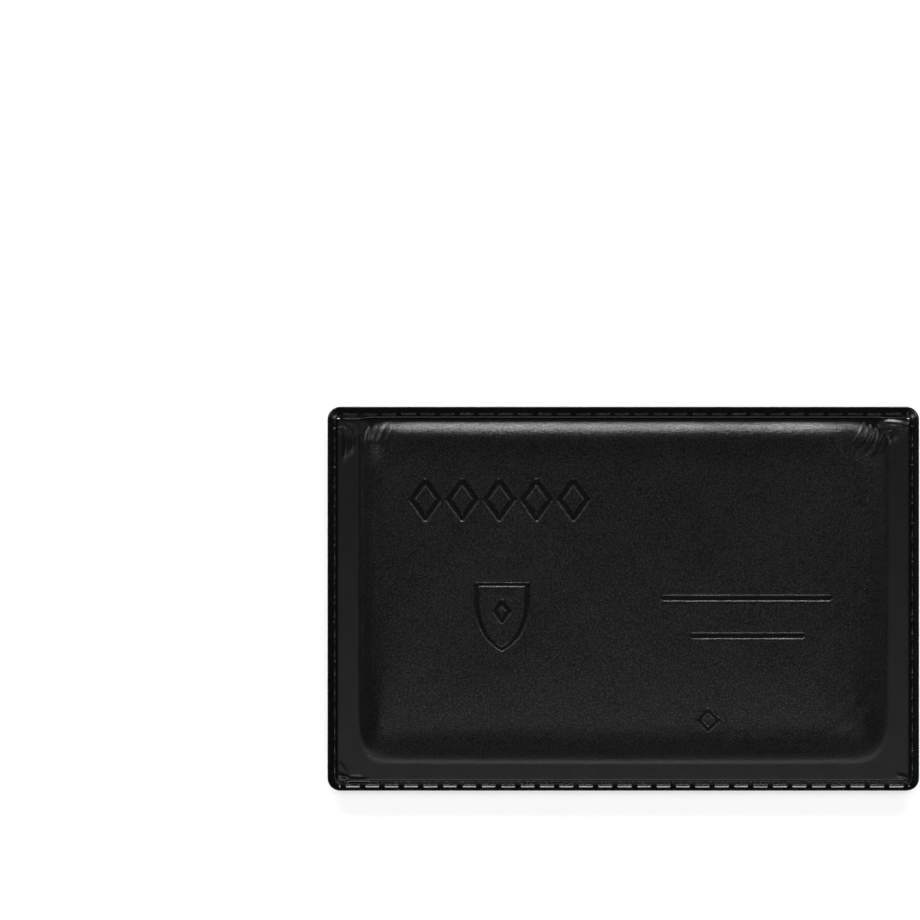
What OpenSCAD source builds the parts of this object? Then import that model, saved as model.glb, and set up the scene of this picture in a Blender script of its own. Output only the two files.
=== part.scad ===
// Welded card sleeve. A padded, leather-look front with a shielding foil behind it and a clear
// window at the back hold one bank card between them. The sleeve lies on its window, padded front up.
// Millimetres. X runs along the long side, Y towards the mouth and Z up through the layers.
// The origin is in the middle of the window's outer face.

/* [Card] */
// Length of the card, a standard ID-1 card
card_l = 85.6; // [80:0.1:92]
// Width of the card
card_w = 53.98; // [50:0.01:60]
// Thickness of the sheet that carries the printed face
card_face_t = 0.38; // [0.3:0.01:0.5]
// Thickness of the sheet that carries the magnetic stripe
card_back_t = 0.38; // [0.3:0.01:0.5]
// Radius of the card's corners
card_corner_r = 3.18; // [2.5:0.01:4]

/* [Chip and aerial] */
// Length of the chip's contact plate
chip_l = 11; // [9:0.1:13]
// Width of the chip's contact plate
chip_w = 8.2; // [7:0.1:11.8]
// Thickness of the contact plate
chip_t = 0.16; // [0.1:0.01:0.2]
// Corner radius of the contact plate
chip_corner_r = 1.2; // [0.8:0.1:2]
// Distance from the card's short edge to the contact plate
chip_edge_x = 9.8; // [9:0.1:12]
// Distance from the card's upper edge to the contact plate
chip_edge_y = 18.6; // [17:0.1:20]
// Width of the plate's middle field, between its two rows of contacts
field_l = 3.7; // [2.5:0.1:5]
// Distance from one contact to the next in a row
contact_pitch = 2.54; // [2:0.01:2.7]
// Width of the grooves that part the contacts
groove_w = 0.2; // [0.1:0.05:0.4]
// Depth of those grooves
groove_depth = 0.06; // [0.03:0.01:0.08]
// Length of the resin block over the chip
capsule_l = 6.6; // [5:0.1:7.5]
// Width of the resin block
capsule_w = 5; // [4:0.1:5.8]
// How far the resin block reaches into the card's second sheet
capsule_reach = 0.16; // [0.1:0.01:0.2]
// Distance between the aerial's two leads at the resin block
lead_gap = 2.5; // [1.2:0.1:3]
// Width of the aerial's copper track
track_w = 0.5; // [0.3:0.05:0.6]
// Thickness of the aerial's copper track
track_t = 0.05; // [0.03:0.01:0.06]
// Distance from one turn of the aerial to the next
track_pitch = 1; // [0.8:0.1:1.2]
// Turns of the aerial
aerial_turns = 4; // [3:1:6]
// Distance from the card's edge to the outer turn
aerial_inset = 2.4; // [2:0.1:3]

/* [Card reverse] */
// Width of the magnetic stripe
stripe_w = 12.7; // [10.3:0.1:13]
// Distance from the card's upper edge to the stripe
stripe_edge_y = 4.2; // [3.5:0.1:5.5]
// Length of the signature panel
panel_l = 64; // [50:1:72]
// Width of the signature panel
panel_w = 9.6; // [8:0.1:12]
// Distance from the stripe to the signature panel
panel_gap = 4; // [2:0.5:8]
// Distance from the card's short edge to the signature panel
panel_edge_x = 7; // [4:0.5:8]
// Depth to which the stripe and the panel are laid into the card
inlay_t = 0.03; // [0.02:0.01:0.05]

/* [Pocket] */
// Room between the card and the end welds, both ends together
end_play = 3; // [2:0.1:5]
// How far the card lies to the right of the middle
card_shift = 0.5; // [-0.8:0.1:0.8]
// How far the card can still be pushed down to the closed weld
seat_gap = 1.6; // [1:0.1:4]
// How far the sleeve reaches past the card's upper edge
mouth_cover = 2.47; // [2.2:0.01:4]
// How far the window's free edge lies below the card's upper edge
film_setback = 0.8; // [0.3:0.1:3]
// Clearance between the card and the layer on each side of it
card_play = 0.03; // [0.02:0.01:0.1]

/* [Layers] */
// Thickness of the clear window film
film_t = 0.2; // [0.15:0.01:0.4]
// Thickness of the pocket's lining sheet
lining_t = 0.2; // [0.15:0.01:0.4]
// Thickness of the shielding foil
foil_t = 0.06; // [0.03:0.01:0.1]
// How far the foil's edge stays inside the welds
foil_inset = 0.5; // [0.3:0.1:1]
// Thickness of the leather-look front skin
skin_t = 0.4; // [0.3:0.05:0.6]

/* [Padding] */
// Height of the padded panel above the flat bands
pad_h = 1.9; // [1:0.1:3]
// Further rise from the panel's shoulder to its middle
crown_h = 0.3; // [0:0.05:0.6]
// Width of the S-shaped shoulder round the panel
shoulder_w = 7; // [3:0.1:9]
// How the shoulder leans: 1 is an even S, and less is steeper near its foot
shoulder_lean = 0.7; // [0.6:0.05:1]
// Corner radius of the padded panel
pad_corner_r = 6; // [3:0.5:8]
// Width of the flat band between an end weld and the padded panel
band_end = 3.3; // [2:0.1:6]
// Width of the flat band between the closed weld and the padded panel
band_low = 3.1; // [2:0.1:6]
// Clearance between the foam and the skin over it
foam_play = 0.05; // [0.03:0.01:0.2]

/* [Welds] */
// Width of the weld at the ends and along the closed side
weld_w = 1.45; // [1.2:0.05:1.9]
// Width of the weld along the mouth
hem_w = 1.95; // [1.4:0.05:2.1]
// Thickness of the melted layers at the sleeve's edge
edge_t = 0.8; // [0.6:0.05:0.9]
// How far the front falls from the flat band to the sleeve's edge
edge_drop = 0.23; // [0.1:0.01:0.35]
// Rounding of the sleeve's edge
edge_round = 0.2; // [0.1:0.05:0.25]
// Radius of the sleeve's corners
corner_r = 2; // [2:0.1:4]

/* [Imitation stitches] */
// Distance from one moulded stitch to the next
stitch_pitch = 3; // [2.5:0.1:4]
// Length of a moulded stitch
stitch_l = 2.35; // [1.5:0.05:2.4]
// Width of a moulded stitch
stitch_w = 0.6; // [0.4:0.05:0.8]
// Distance from the sleeve's edge to the middle of the stitches
stitch_inset = 0.85; // [0.7:0.05:0.95]
// How far a stitch stands above the weld
stitch_rise = 0.1; // [0.05:0.01:0.15]

/* [Hidden] */

// Overlap of shapes that are joined or cut, so that no two of their faces coincide
lap = 0.1;
// Facets of a full circle, and of a moulded stitch
round_fn = 64;
stitch_fn = 24;
// Steps in the rounding of the sleeve's edge
edge_steps = 4;
// Steps up the padded panel's shoulder, and steps round a corner of its outline
shoulder_steps = 8;
quarter_steps = 7;
// Rings between the shoulder and the middle of the padded panel
crown_steps = 3;
// Half width and corner radius that the innermost ring of the padded panel keeps
crown_core = 3;
crown_core_r = 1;

// Heights of the layers, from the table up
card_t = card_face_t + card_back_t;
z_card = film_t + card_play;
z_split = z_card + card_face_t;
z_card_top = z_card + card_t;
z_lining = z_card_top + card_play;
z_foil = z_lining + lining_t;
z_skin = z_foil + foil_t;
z_band = z_skin + skin_t;
z_edge_top = z_band - edge_drop;
z_edge_low = z_edge_top - edge_t;

// Outline of the sleeve and of the pocket inside its welds
sleeve_l = card_l + end_play + 2 * weld_w;
sleeve_w = card_w + seat_gap + weld_w + mouth_cover;
inner_l = sleeve_l - 2 * weld_w;
y_low = -sleeve_w / 2 + weld_w;
y_hem = sleeve_w / 2 - hem_w;

// Place of the card: its middle in X, and its lower and upper edges in Y
card_x = card_shift;
card_y_low = y_low + seat_gap;
card_y_top = card_y_low + card_w;
y_film = card_y_top - film_setback;

// Outline of the padded panel
pad_l = inner_l - 2 * band_end;
pad_y_low = y_low + band_low;
pad_w = y_hem - pad_y_low;
pad_y = (y_hem + pad_y_low) / 2;

// Middle of the chip. The card shows its face to the window, so the chip lies at the right end.
chip_x = card_x + card_l / 2 - chip_edge_x - chip_l / 2;
chip_y = card_y_top - chip_edge_y - chip_w / 2;

// Points on an arc from angle a1 to angle a2
function arc_points(centre, r, a1, a2, steps) =
    [for (i = [0 : steps]) centre + r * [cos(a1 + (a2 - a1) * i / steps), sin(a1 + (a2 - a1) * i / steps)]];

// A block between two corners
module block(low, high) {
    translate(low) cube(high - low);
}

// A plate with round corners, centred in X and Y on [x, y], from z_low up by t
module rounded_plate(x, y, l, w, r, z_low, t) {
    translate([x, y, z_low]) {
        translate([-l / 2, -w / 2 + r, 0]) cube([l, w - 2 * r, t]);
        translate([-l / 2 + r, -w / 2, 0]) cube([l - 2 * r, w, t]);
        for (sx = [-1, 1], sy = [-1, 1])
            translate([sx * (l / 2 - r), sy * (w / 2 - r), 0]) cylinder(r = r, h = t, $fn = round_fn);
    }
}

// Section of the sleeve's edge. Its x is the distance in from the edge, its y the height. The film
// rises and the front falls towards the edge, where the layers are melted to one thickness.
module edge_section(inner) {
    fall_top = atan(edge_drop / weld_w);
    rise_low = atan(z_edge_low / weld_w);
    polygon(concat(
        [[inner, 0], [weld_w, 0]],
        arc_points([edge_round, z_edge_low + edge_round], edge_round, 270 - rise_low, 180, edge_steps),
        arc_points([edge_round, z_edge_top - edge_round], edge_round, 180, 90 + fall_top, edge_steps),
        [[weld_w, z_band], [inner, z_band]]));
}

// The whole rim of the sleeve, as deep as the widest weld, with round corners
module rim() {
    deep = max(corner_r, hem_w) + lap;
    run_l = sleeve_l - 2 * corner_r;
    run_w = sleeve_w - 2 * corner_r;
    for (s = [0, 180]) rotate([0, 0, s]) {
        translate([-sleeve_l / 2, run_w / 2, 0])
            rotate([90, 0, 0]) linear_extrude(run_w) edge_section(deep);
        translate([-run_l / 2, -sleeve_w / 2, 0])
            rotate([90, 0, 90]) linear_extrude(run_l) edge_section(deep);
        for (a = [180, 270])
            translate([(a == 180 ? -1 : 1) * run_l / 2, -run_w / 2, 0])
                rotate([0, 0, a]) rotate_extrude(angle = 90, $fn = round_fn)
                    translate([corner_r, 0]) mirror([1, 0]) edge_section(corner_r);
    }
}

// A row of moulded stitches along X, centred on the origin, as many as fit in a length
module stitch_row(length) {
    count = floor(length / stitch_pitch);
    fall = edge_drop * (1 - stitch_inset / weld_w);
    z_middle = z_band - fall + stitch_rise - stitch_w / 2;
    for (i = [0 : count - 1])
        translate([(i - (count - 1) / 2) * stitch_pitch, 0, z_middle])
            rotate([0, 90, 0]) cylinder(d = stitch_w, h = stitch_l, center = true, $fn = stitch_fn);
}

// One weld: the piece of the rim between two corners, with the children's stitches moulded on it
module weld(low, high) {
    intersection() {
        union() {
            rim();
            children();
        }
        block(low, [high[0], high[1], z_band + stitch_rise]);
    }
}

// A weld at one end of the sleeve, from the closed weld up to the mouth
module end_weld(side) {
    x_outer = side * sleeve_l / 2;
    x_inner = side * inner_l / 2;
    weld([min(x_outer, x_inner), y_low, 0], [max(x_outer, x_inner), sleeve_w / 2])
        translate([side * (sleeve_l / 2 - stitch_inset), 0, 0])
            rotate([0, 0, 90]) stitch_row(sleeve_w - 2 * corner_r);
}

// One ring of the padded panel's outline, set in by d, at height z
function pad_ring(d, z) =
    let (r = max(pad_corner_r - d, crown_core_r), hx = pad_l / 2 - d, hy = pad_w / 2 - d)
    [for (q = [0 : 3])
        let (sx = (q == 0 || q == 3) ? 1 : -1, sy = q < 2 ? 1 : -1)
        for (p = arc_points([sx * (hx - r), sy * (hy - r)], r, 90 * q, 90 * q + 90, quarter_steps))
            [p[0], pad_y + p[1], z]];

// Height of the padded panel above its foot at distance d from its outline: an S-shaped shoulder
// that rises by rise, on a slow crown that is full at distance d_last
function pad_height(d, rise, d_last) =
    rise * (1 - cos(180 * pow(min(d / shoulder_w, 1), shoulder_lean))) / 2
    + crown_h * (1 - pow(1 - d / d_last, 2));

// The padded panel's shape. It stands on z_foot, is set in by inset, and reaches skirt below its foot.
module crowned_panel(z_foot, inset, rise, skirt) {
    d_last = pad_w / 2 - crown_core;
    distances = concat(
        [for (i = [0 : shoulder_steps]) shoulder_w * i / shoulder_steps],
        [for (i = [1 : crown_steps]) shoulder_w + (d_last - shoulder_w) * i / crown_steps]);
    rings = concat(
        skirt > 0 ? [pad_ring(inset, z_foot - skirt)] : [],
        [for (d = distances)
            pad_ring(inset + d * (d_last - inset) / d_last, z_foot + pad_height(d, rise, d_last))]);
    n = len(rings[0]);
    last = len(rings) - 1;
    polyhedron(
        points = [for (ring = rings) for (p = ring) p],
        faces = concat(
            [[for (i = [0 : n - 1]) i]],
            [for (k = [0 : last - 1], i = [0 : n - 1]) let (j = (i + 1) % n)
                [k * n + i, (k + 1) * n + i, k * n + j]],
            [for (k = [0 : last - 1], i = [0 : n - 1]) let (j = (i + 1) % n)
                [(k + 1) * n + i, (k + 1) * n + j, k * n + j]],
            [[for (i = [n - 1 : -1 : 0]) last * n + i]]));
}

// The leather-look skin: flat bands inside the welds and the raised panel over the foam
module front_cover() {
    color("#1c1c1e") difference() {
        union() {
            block([-inner_l / 2, y_low, z_skin], [inner_l / 2, y_hem, z_band]);
            crowned_panel(z_band, 0, pad_h, lap);
        }
        crowned_panel(z_skin, skin_t, pad_h, lap);
    }
}

// The soft foam that fills the raised panel
module foam_pad() {
    color("#4a4a4c") crowned_panel(z_skin, skin_t + foam_play, pad_h - foam_play, 0);
}

// The metal foil that screens the card from card readers
module shield_foil() {
    color("#b9bcc0")
        block([-inner_l / 2 + foil_inset, y_low + foil_inset, z_foil],
              [inner_l / 2 - foil_inset, y_hem - foil_inset, z_skin]);
}

// The black sheet that closes the front laminate and makes the pocket's upper wall
module pocket_lining() {
    color("#141416") block([-inner_l / 2, y_low, z_lining], [inner_l / 2, y_hem, z_foil]);
}

// The clear film of the window, with its free edge at the mouth
module window_film() {
    color("#dfe8ee", 0.3) block([-inner_l / 2, y_low, 0], [inner_l / 2, y_film, film_t]);
}

// The weld along the closed long side, with both lower corners
module closed_weld() {
    color("#0e0e10") weld([-sleeve_l / 2, -sleeve_w / 2, 0], [sleeve_l / 2, y_low])
        translate([0, -sleeve_w / 2 + stitch_inset, 0]) stitch_row(sleeve_l - 2 * corner_r);
}

module left_weld() {
    color("#0e0e10") end_weld(-1);
}

module right_weld() {
    color("#0e0e10") end_weld(1);
}

// The weld of the skin and the lining along the mouth. The card passes below it.
module mouth_hem() {
    color("#0e0e10") weld([-inner_l / 2, y_hem, z_lining], [inner_l / 2, sleeve_w / 2])
        translate([0, sleeve_w / 2 - stitch_inset, 0]) stitch_row(sleeve_l - 2 * corner_r);
}

// The chip's contact plate, and the same shape as a recess for it
module chip_plate() {
    rounded_plate(chip_x, chip_y, chip_l, chip_w, chip_corner_r, z_card, chip_t);
}

// The resin block over the chip, and the same shape as a recess for it
module capsule_block() {
    block([chip_x - capsule_l / 2, chip_y - capsule_w / 2, z_card + chip_t],
          [chip_x + capsule_l / 2, chip_y + capsule_w / 2, z_split + capsule_reach]);
}

// A straight copper track from p to q, along X or Y, on the card's middle plane
module track(p, q, z_low = z_split, height = track_t) {
    low = [min(p[0], q[0]) - track_w / 2, min(p[1], q[1]) - track_w / 2, z_low];
    high = [max(p[0], q[0]) + track_w / 2, max(p[1], q[1]) + track_w / 2, z_low + height];
    block(low, high);
}

// The aerial: a square spiral that winds in from the upper right corner. Its inner end runs to the
// chip, and a bridge over the turns brings the outer end back to it.
module aerial_tracks() {
    hx = card_l / 2 - aerial_inset;
    hy = card_w / 2 - aerial_inset;
    cy = card_y_low + card_w / 2;
    x_outer = card_x + hx;
    x_inner = x_outer - aerial_turns * track_pitch;
    x_chip = chip_x + capsule_l / 2 + track_w / 2;
    y_inner = chip_y + lead_gap / 2;
    y_outer = chip_y - lead_gap / 2;
    bridge_rise = 2 * track_t;
    for (i = [0 : aerial_turns - 1]) {
        d = i * track_pitch;
        right = x_outer - d;
        left = card_x - hx + d;
        up = cy + hy - d;
        down = cy - hy + d;
        turn_end = i == aerial_turns - 1 ? y_inner : up - track_pitch;
        track([right, up], [left, up]);
        track([left, up], [left, down]);
        track([left, down], [right - track_pitch, down]);
        track([right - track_pitch, down], [right - track_pitch, turn_end]);
    }
    track([x_chip, y_inner], [x_inner, y_inner]);
    track([x_outer, cy + hy], [x_outer, y_outer]);
    track([x_chip, y_outer], [x_outer, y_outer], z_split + bridge_rise);
    for (x = [x_chip, x_outer])
        track([x, y_outer], [x, y_outer], z_split, bridge_rise + track_t);
}

// The strip with the magnetic tracks, across the whole card
module stripe_inlay() {
    block([card_x - card_l / 2, card_y_top - stripe_edge_y - stripe_w, z_card_top - inlay_t],
          [card_x + card_l / 2, card_y_top - stripe_edge_y, z_card_top]);
}

// The pale panel to sign on
module panel_inlay() {
    y_top = card_y_top - stripe_edge_y - stripe_w - panel_gap;
    x_low = card_x - card_l / 2 + panel_edge_x;
    block([x_low, y_top - panel_w, z_card_top - inlay_t], [x_low + panel_l, y_top, z_card_top]);
}

// The sheet with the printed face, turned to the window
module card_face() {
    color("#c3c3bf") difference() {
        rounded_plate(card_x, card_y_low + card_w / 2, card_l, card_w, card_corner_r, z_card, card_face_t);
        chip_plate();
        capsule_block();
    }
}

// The sheet with the magnetic stripe, turned to the lining
module card_back() {
    color("#b4b4b1") difference() {
        rounded_plate(card_x, card_y_low + card_w / 2, card_l, card_w, card_corner_r, z_split, card_back_t);
        capsule_block();
        aerial_tracks();
        stripe_inlay();
        panel_inlay();
    }
}

// The contact plate with the grooves that part its six contacts from the middle field
module chip_contacts() {
    color("#c9c6bc") difference() {
        chip_plate();
        for (s = [-1, 1]) {
            x_field = chip_x + s * field_l / 2;
            x_edge = chip_x + s * (chip_l / 2 + lap);
            block([x_field - groove_w / 2, chip_y - chip_w / 2 - lap, z_card - lap],
                  [x_field + groove_w / 2, chip_y + chip_w / 2 + lap, z_card + groove_depth]);
            for (t = [-1, 1]) {
                y_groove = chip_y + t * contact_pitch / 2;
                block([min(x_field, x_edge), y_groove - groove_w / 2, z_card - lap],
                      [max(x_field, x_edge), y_groove + groove_w / 2, z_card + groove_depth]);
            }
        }
    }
}

module chip_capsule() {
    color("#1a1a1a") capsule_block();
}

module aerial() {
    color("#b87a4b") aerial_tracks();
}

module magnetic_stripe() {
    color("#2a2522") stripe_inlay();
}

module signature_panel() {
    color("#e9e8e2") panel_inlay();
}

front_cover();
foam_pad();
shield_foil();
pocket_lining();
window_film();
closed_weld();
left_weld();
right_weld();
mouth_hem();
card_face();
card_back();
chip_contacts();
chip_capsule();
aerial();
magnetic_stripe();
signature_panel();
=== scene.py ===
# %% [markdown]
# # A padded card sleeve
# The real sleeve is three sheets of soft PVC melted together along their edge: a leather-look front
# over foam and foil, a black lining, and a clear window. One bank card sits between lining and window.
# The CAD model is the frame: it fixes every size and place, and how the card slides out. This script
# gives that frame its looks. It is read from top to bottom, and each step says what it makes and why.

# %% Load the frame
import math

import bmesh
import bpy
import numpy as np
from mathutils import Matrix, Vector


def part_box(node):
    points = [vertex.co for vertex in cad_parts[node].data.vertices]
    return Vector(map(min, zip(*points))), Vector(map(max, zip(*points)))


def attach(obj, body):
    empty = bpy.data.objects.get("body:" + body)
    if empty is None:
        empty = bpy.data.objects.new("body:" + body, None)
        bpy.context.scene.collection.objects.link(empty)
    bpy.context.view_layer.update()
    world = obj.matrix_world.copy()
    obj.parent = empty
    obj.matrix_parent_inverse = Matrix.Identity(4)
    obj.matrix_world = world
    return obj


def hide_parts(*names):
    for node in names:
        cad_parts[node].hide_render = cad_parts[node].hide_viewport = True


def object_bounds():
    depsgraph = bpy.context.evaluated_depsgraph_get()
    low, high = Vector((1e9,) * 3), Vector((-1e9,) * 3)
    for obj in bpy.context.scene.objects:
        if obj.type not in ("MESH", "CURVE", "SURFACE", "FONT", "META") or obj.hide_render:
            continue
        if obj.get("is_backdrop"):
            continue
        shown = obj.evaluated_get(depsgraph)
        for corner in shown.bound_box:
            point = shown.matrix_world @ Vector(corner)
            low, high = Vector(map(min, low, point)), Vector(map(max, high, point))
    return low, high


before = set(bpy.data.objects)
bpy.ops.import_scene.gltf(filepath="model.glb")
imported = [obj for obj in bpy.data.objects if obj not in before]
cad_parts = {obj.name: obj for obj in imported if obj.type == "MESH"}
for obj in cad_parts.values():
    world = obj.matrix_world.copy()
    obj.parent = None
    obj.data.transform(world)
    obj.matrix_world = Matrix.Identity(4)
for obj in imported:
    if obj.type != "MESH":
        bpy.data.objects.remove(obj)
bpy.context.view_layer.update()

# %% [markdown]
# ## A few small helpers
# Blender works in metres, and the real sizes of a card sleeve are read in millimetres, so shapes are
# worked out in millimetres and made smaller once, where a mesh is built. Colours are written as sRGB
# hex codes, as a paint chart gives them, and turned to the linear values that shaders add up. One
# function adds a node with its settings and its links, which keeps each material readable as a list.
# The others make a mesh object from points, and read the box of a CAD node.

# %% Helpers
MM = 0.001
# Two faces that meet at more degrees than this keep a sharp edge between them
SHARP = 55


def linear(code):
    """An sRGB hex colour as the linear RGBA that Blender's sockets take."""
    parts = [int(code[i:i + 2], 16) / 255 for i in (1, 3, 5)]
    return [c / 12.92 if c <= 0.04045 else ((c + 0.055) / 1.055) ** 2.4 for c in parts] + [1.0]


def add(tree, kind, sockets=None, **settings):
    """Adds a node. settings are its own properties; sockets gives inputs a value, an output or a node,
    of which the first output is taken."""
    node = tree.nodes.new(kind)
    for name, value in settings.items():
        setattr(node, name, value)
    for key, value in (sockets or {}).items():
        if isinstance(value, bpy.types.Node):
            value = next(output for output in value.outputs if output.enabled)
        if isinstance(value, bpy.types.NodeSocket):
            tree.links.new(value, node.inputs[key])
        else:
            node.inputs[key].default_value = value
    return node


def new_piece(name, points, faces, scale=MM):
    """A smooth-shaded mesh object at the origin, its place in its mesh, from points in millimetres."""
    mesh = bpy.data.meshes.new(name)
    mesh.from_pydata((np.asarray(points, float) * scale).tolist(), [], faces)
    mesh.shade_smooth()
    mesh.set_sharp_from_angle(angle=math.radians(SHARP))
    piece = bpy.data.objects.new(name, mesh)
    bpy.context.scene.collection.objects.link(piece)
    return piece


def corners(node):
    """Lowest and highest corner of a CAD node, in millimetres."""
    low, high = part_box(node)
    return np.array(low) / MM, np.array(high) / MM


# %% [markdown]
# ## The camera
# The photograph looks straight down on the sleeve through a long lens. The card in the window gives
# the scale, so the height follows from how many millimetres the picture is wide. The sleeve lies to
# the lower right in the picture, so the camera stands to the upper left of it, and needs no shift.

# %% Camera
PIXELS = 920
PIXELS_PER_MM = 6.467
LENS, SENSOR = 150, 36
# The pixel of the sleeve's middle, and the height at which the scale holds
SLEEVE_PIXEL = (623.3, 598.75)
RIM_HEIGHT = 1.0

camera = bpy.data.objects.new("camera", bpy.data.cameras.new("camera"))
bpy.context.scene.collection.objects.link(camera)
camera.data.lens, camera.data.sensor_width = LENS, SENSOR
view_width = PIXELS / PIXELS_PER_MM
camera.location = Vector((
    (PIXELS / 2 - SLEEVE_PIXEL[0]) / PIXELS_PER_MM,
    (SLEEVE_PIXEL[1] - PIXELS / 2) / PIXELS_PER_MM,
    RIM_HEIGHT + view_width * LENS / SENSOR)) * MM
camera.data.clip_start, camera.data.clip_end = 0.05, 20
bpy.context.scene.camera = camera
bpy.context.scene.view_settings.view_transform = "Standard"
print("Picture width in mm:", round(view_width, 1), "camera at", [round(v, 4) for v in camera.location])

# %% [markdown]
# ## The studio
# Black glossy vinyl has almost no colour of its own: what the eye sees is the studio mirrored in it.
# So the lamps are laid out by where the photograph's reflections say they are. A broad faint panel
# overhead is mirrored by the flat bands, and a smaller one just below it by the gentle slopes of the
# padding. A bright strip stands beyond the mouth, where the padded shoulder mirrors it, and a low
# strip on the near side lights the steep flanks of the stitches. Two boxes, far to the left and the
# right, show in the folds at the mouth's corners, and a very faint wall in the shoulder on the right.
# Lamps far away light every part of the table alike, so they are painted on the world as soft-edged
# rectangles, each by its direction. Together with the pale walls they light a white sheet as white.

# %% World
world = bpy.data.worlds.new("studio")
bpy.context.scene.world = world
world.use_nodes = True
sky = world.node_tree
sky.nodes.clear()
direction = add(sky, "ShaderNodeTexCoord").outputs["Generated"]


def lamp_panel(azimuth, elevation, half_width, half_height, soft, level):
    """Light of a rectangle in the sky. Azimuth is from +Y towards +X. Angles in degrees."""
    a, e = math.radians(azimuth), math.radians(elevation)
    ahead = Vector((math.sin(a) * math.cos(e), math.cos(a) * math.cos(e), math.sin(e)))
    side = Vector((math.cos(a), -math.sin(a), 0))
    along = {way: add(sky, "ShaderNodeVectorMath", {0: direction, 1: axis}, operation="DOT_PRODUCT")
             for way, axis in (("ahead", ahead), ("side", side), ("up", side.cross(ahead)))}
    light = add(sky, "ShaderNodeMath", {0: along["ahead"], 1: 0.0}, operation="GREATER_THAN")
    for way, half in (("side", half_width), ("up", half_height)):
        slope = add(sky, "ShaderNodeMath", {0: along[way], 1: along["ahead"]}, operation="DIVIDE")
        slope = add(sky, "ShaderNodeMath", {0: slope}, operation="ABSOLUTE")
        edge = add(sky, "ShaderNodeMapRange", {
            "Value": slope, "From Min": math.tan(math.radians(half)),
            "From Max": math.tan(math.radians(half - soft))}, interpolation_type="SMOOTHSTEP")
        light = add(sky, "ShaderNodeMath", {0: light, 1: edge}, operation="MULTIPLY")
    return add(sky, "ShaderNodeMath", {0: light, 1: level}, operation="MULTIPLY")


# The walls: white up to a low height, and nearly black above it
height = add(sky, "ShaderNodeSeparateXYZ", {0: direction}).outputs["Z"]
total = add(sky, "ShaderNodeMapRange", {
    "Value": height, "From Min": 0.12, "From Max": 0.07, "To Min": 0.03, "To Max": 1.0},
    interpolation_type="SMOOTHSTEP")
LAMPS = {
    # azimuth, elevation, half width, half height, soft edge, level
    "overhead": (175, 80, 20, 16, 15, 0.6),
    "low overhead": (178, 73, 24, 9, 7, 1.9),
    "right wall": (90, 52, 30, 26, 14, 0.05),
    "mouth strip": (0, 15, 34, 7, 5, 33.0),
    "near strip": (180, 14, 36, 7, 3, 10.3),
    "far left box": (-58, 42, 13, 13, 6, 5.0),
    "far right box": (58, 42, 13, 13, 6, 5.0),
}
for lamp in LAMPS.values():
    total = add(sky, "ShaderNodeMath", {0: total, 1: lamp_panel(*lamp)}, operation="ADD")
background = add(sky, "ShaderNodeBackground", {"Color": total, "Strength": 1.0})
add(sky, "ShaderNodeOutputWorld", {"Surface": background})
print("Studio:", len(LAMPS), "lamps in", len(sky.nodes), "nodes")

# %% [markdown]
# ## The table
# The sleeve lies on a plain white table. The table keeps the sleeve's soft shadow, because it is a
# plain matt surface. A little white is added only where the camera or a mirror looks at it, so that it
# ends as white as the photograph's background without any more light falling on the sleeve.

# %% Table
TABLE_SIZE = 20.0
TABLE_GAP = 0.1
TABLE_LIFT = 0.56

half = TABLE_SIZE / 2 / MM
table = new_piece("table", [(-half, -half, -TABLE_GAP), (half, -half, -TABLE_GAP),
                            (half, half, -TABLE_GAP), (-half, half, -TABLE_GAP)], [(0, 1, 2, 3)])
paper = bpy.data.materials.new("matt_white_paper")
paper.use_nodes = True
tree = paper.node_tree
tree.nodes.clear()
path = add(tree, "ShaderNodeLightPath").outputs
seen = path["Is Camera Ray"]
for ray in ("Is Glossy Ray", "Is Transmission Ray"):
    seen = add(tree, "ShaderNodeMath", {0: seen, 1: path[ray]}, operation="ADD", use_clamp=True)
lift = add(tree, "ShaderNodeMath", {0: seen, 1: TABLE_LIFT}, operation="MULTIPLY")
matt = add(tree, "ShaderNodeBsdfDiffuse", {"Color": linear("#d6d6d6")})
lifted = add(tree, "ShaderNodeEmission", {"Color": linear("#ffffff"), "Strength": lift})
both = add(tree, "ShaderNodeAddShader", {0: matt, 1: lifted})
add(tree, "ShaderNodeOutputMaterial", {"Surface": both})
table.data.materials.append(paper)
table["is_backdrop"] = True
print("Table:", TABLE_SIZE, "m wide,", TABLE_GAP, "mm below the sleeve")

# %% [markdown]
# ## Sizes from the frame
# The pieces made here start from the boxes of the CAD nodes that they stand for, so they stay in the
# frame. The skin's thickness is the CAD model's. The panel's outline, height and crown start from its
# values too, and were then moved by a few tenths of a millimetre to match the photograph's highlights.

# %% Sizes
skin_low, skin_high = corners("front_cover")
rim_low = corners("closed_weld")[0]
rim_high = corners("right_weld")[1]
foil_top = corners("shield_foil")[1][2]
SKIN_T = 0.4
# The padding's height at the end of its shoulder, and how much higher its middle is
PAD_HEIGHT = 1.8
CROWN = 0.35
PAD_LEFT, PAD_RIGHT, PAD_LOW = -41.0, 41.0, -25.5
pad_top = skin_high[1]
band_z = foil_top + SKIN_T
print("Skin from", skin_low.round(2), "to", skin_high.round(2), "flat bands at", round(band_z, 2))

# %% [markdown]
# ## The padded front
# On the real sleeve a press melts the skin flat round the foam, and the foam pushes the middle up. The
# skin rises from the flat bands in an S, slowly on the near side and steeply at the mouth, where the
# hem holds it down. It puckers at the corners, where the sheet has too much length to lie flat.
# A cloth simulation could find such a shape, but the press and the weld set it more than the cloth
# does, so it is worked out as a height for each point and carved with the folds that a maker can see.

# %% Shape of the shoulder and the crown
SHOULDER = {"left": 4.6, "right": 6.4, "near": 8.2, "mouth": 3.6}
LEAN = 0.6
# How tight the corners are, on the near side and at the mouth, where they are rounder
SQUARE_NEAR, SQUARE_MOUTH = 3.0, 1.8
# The place along Y where the corners have become as round as at the mouth
SQUARE_END = 15
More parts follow.
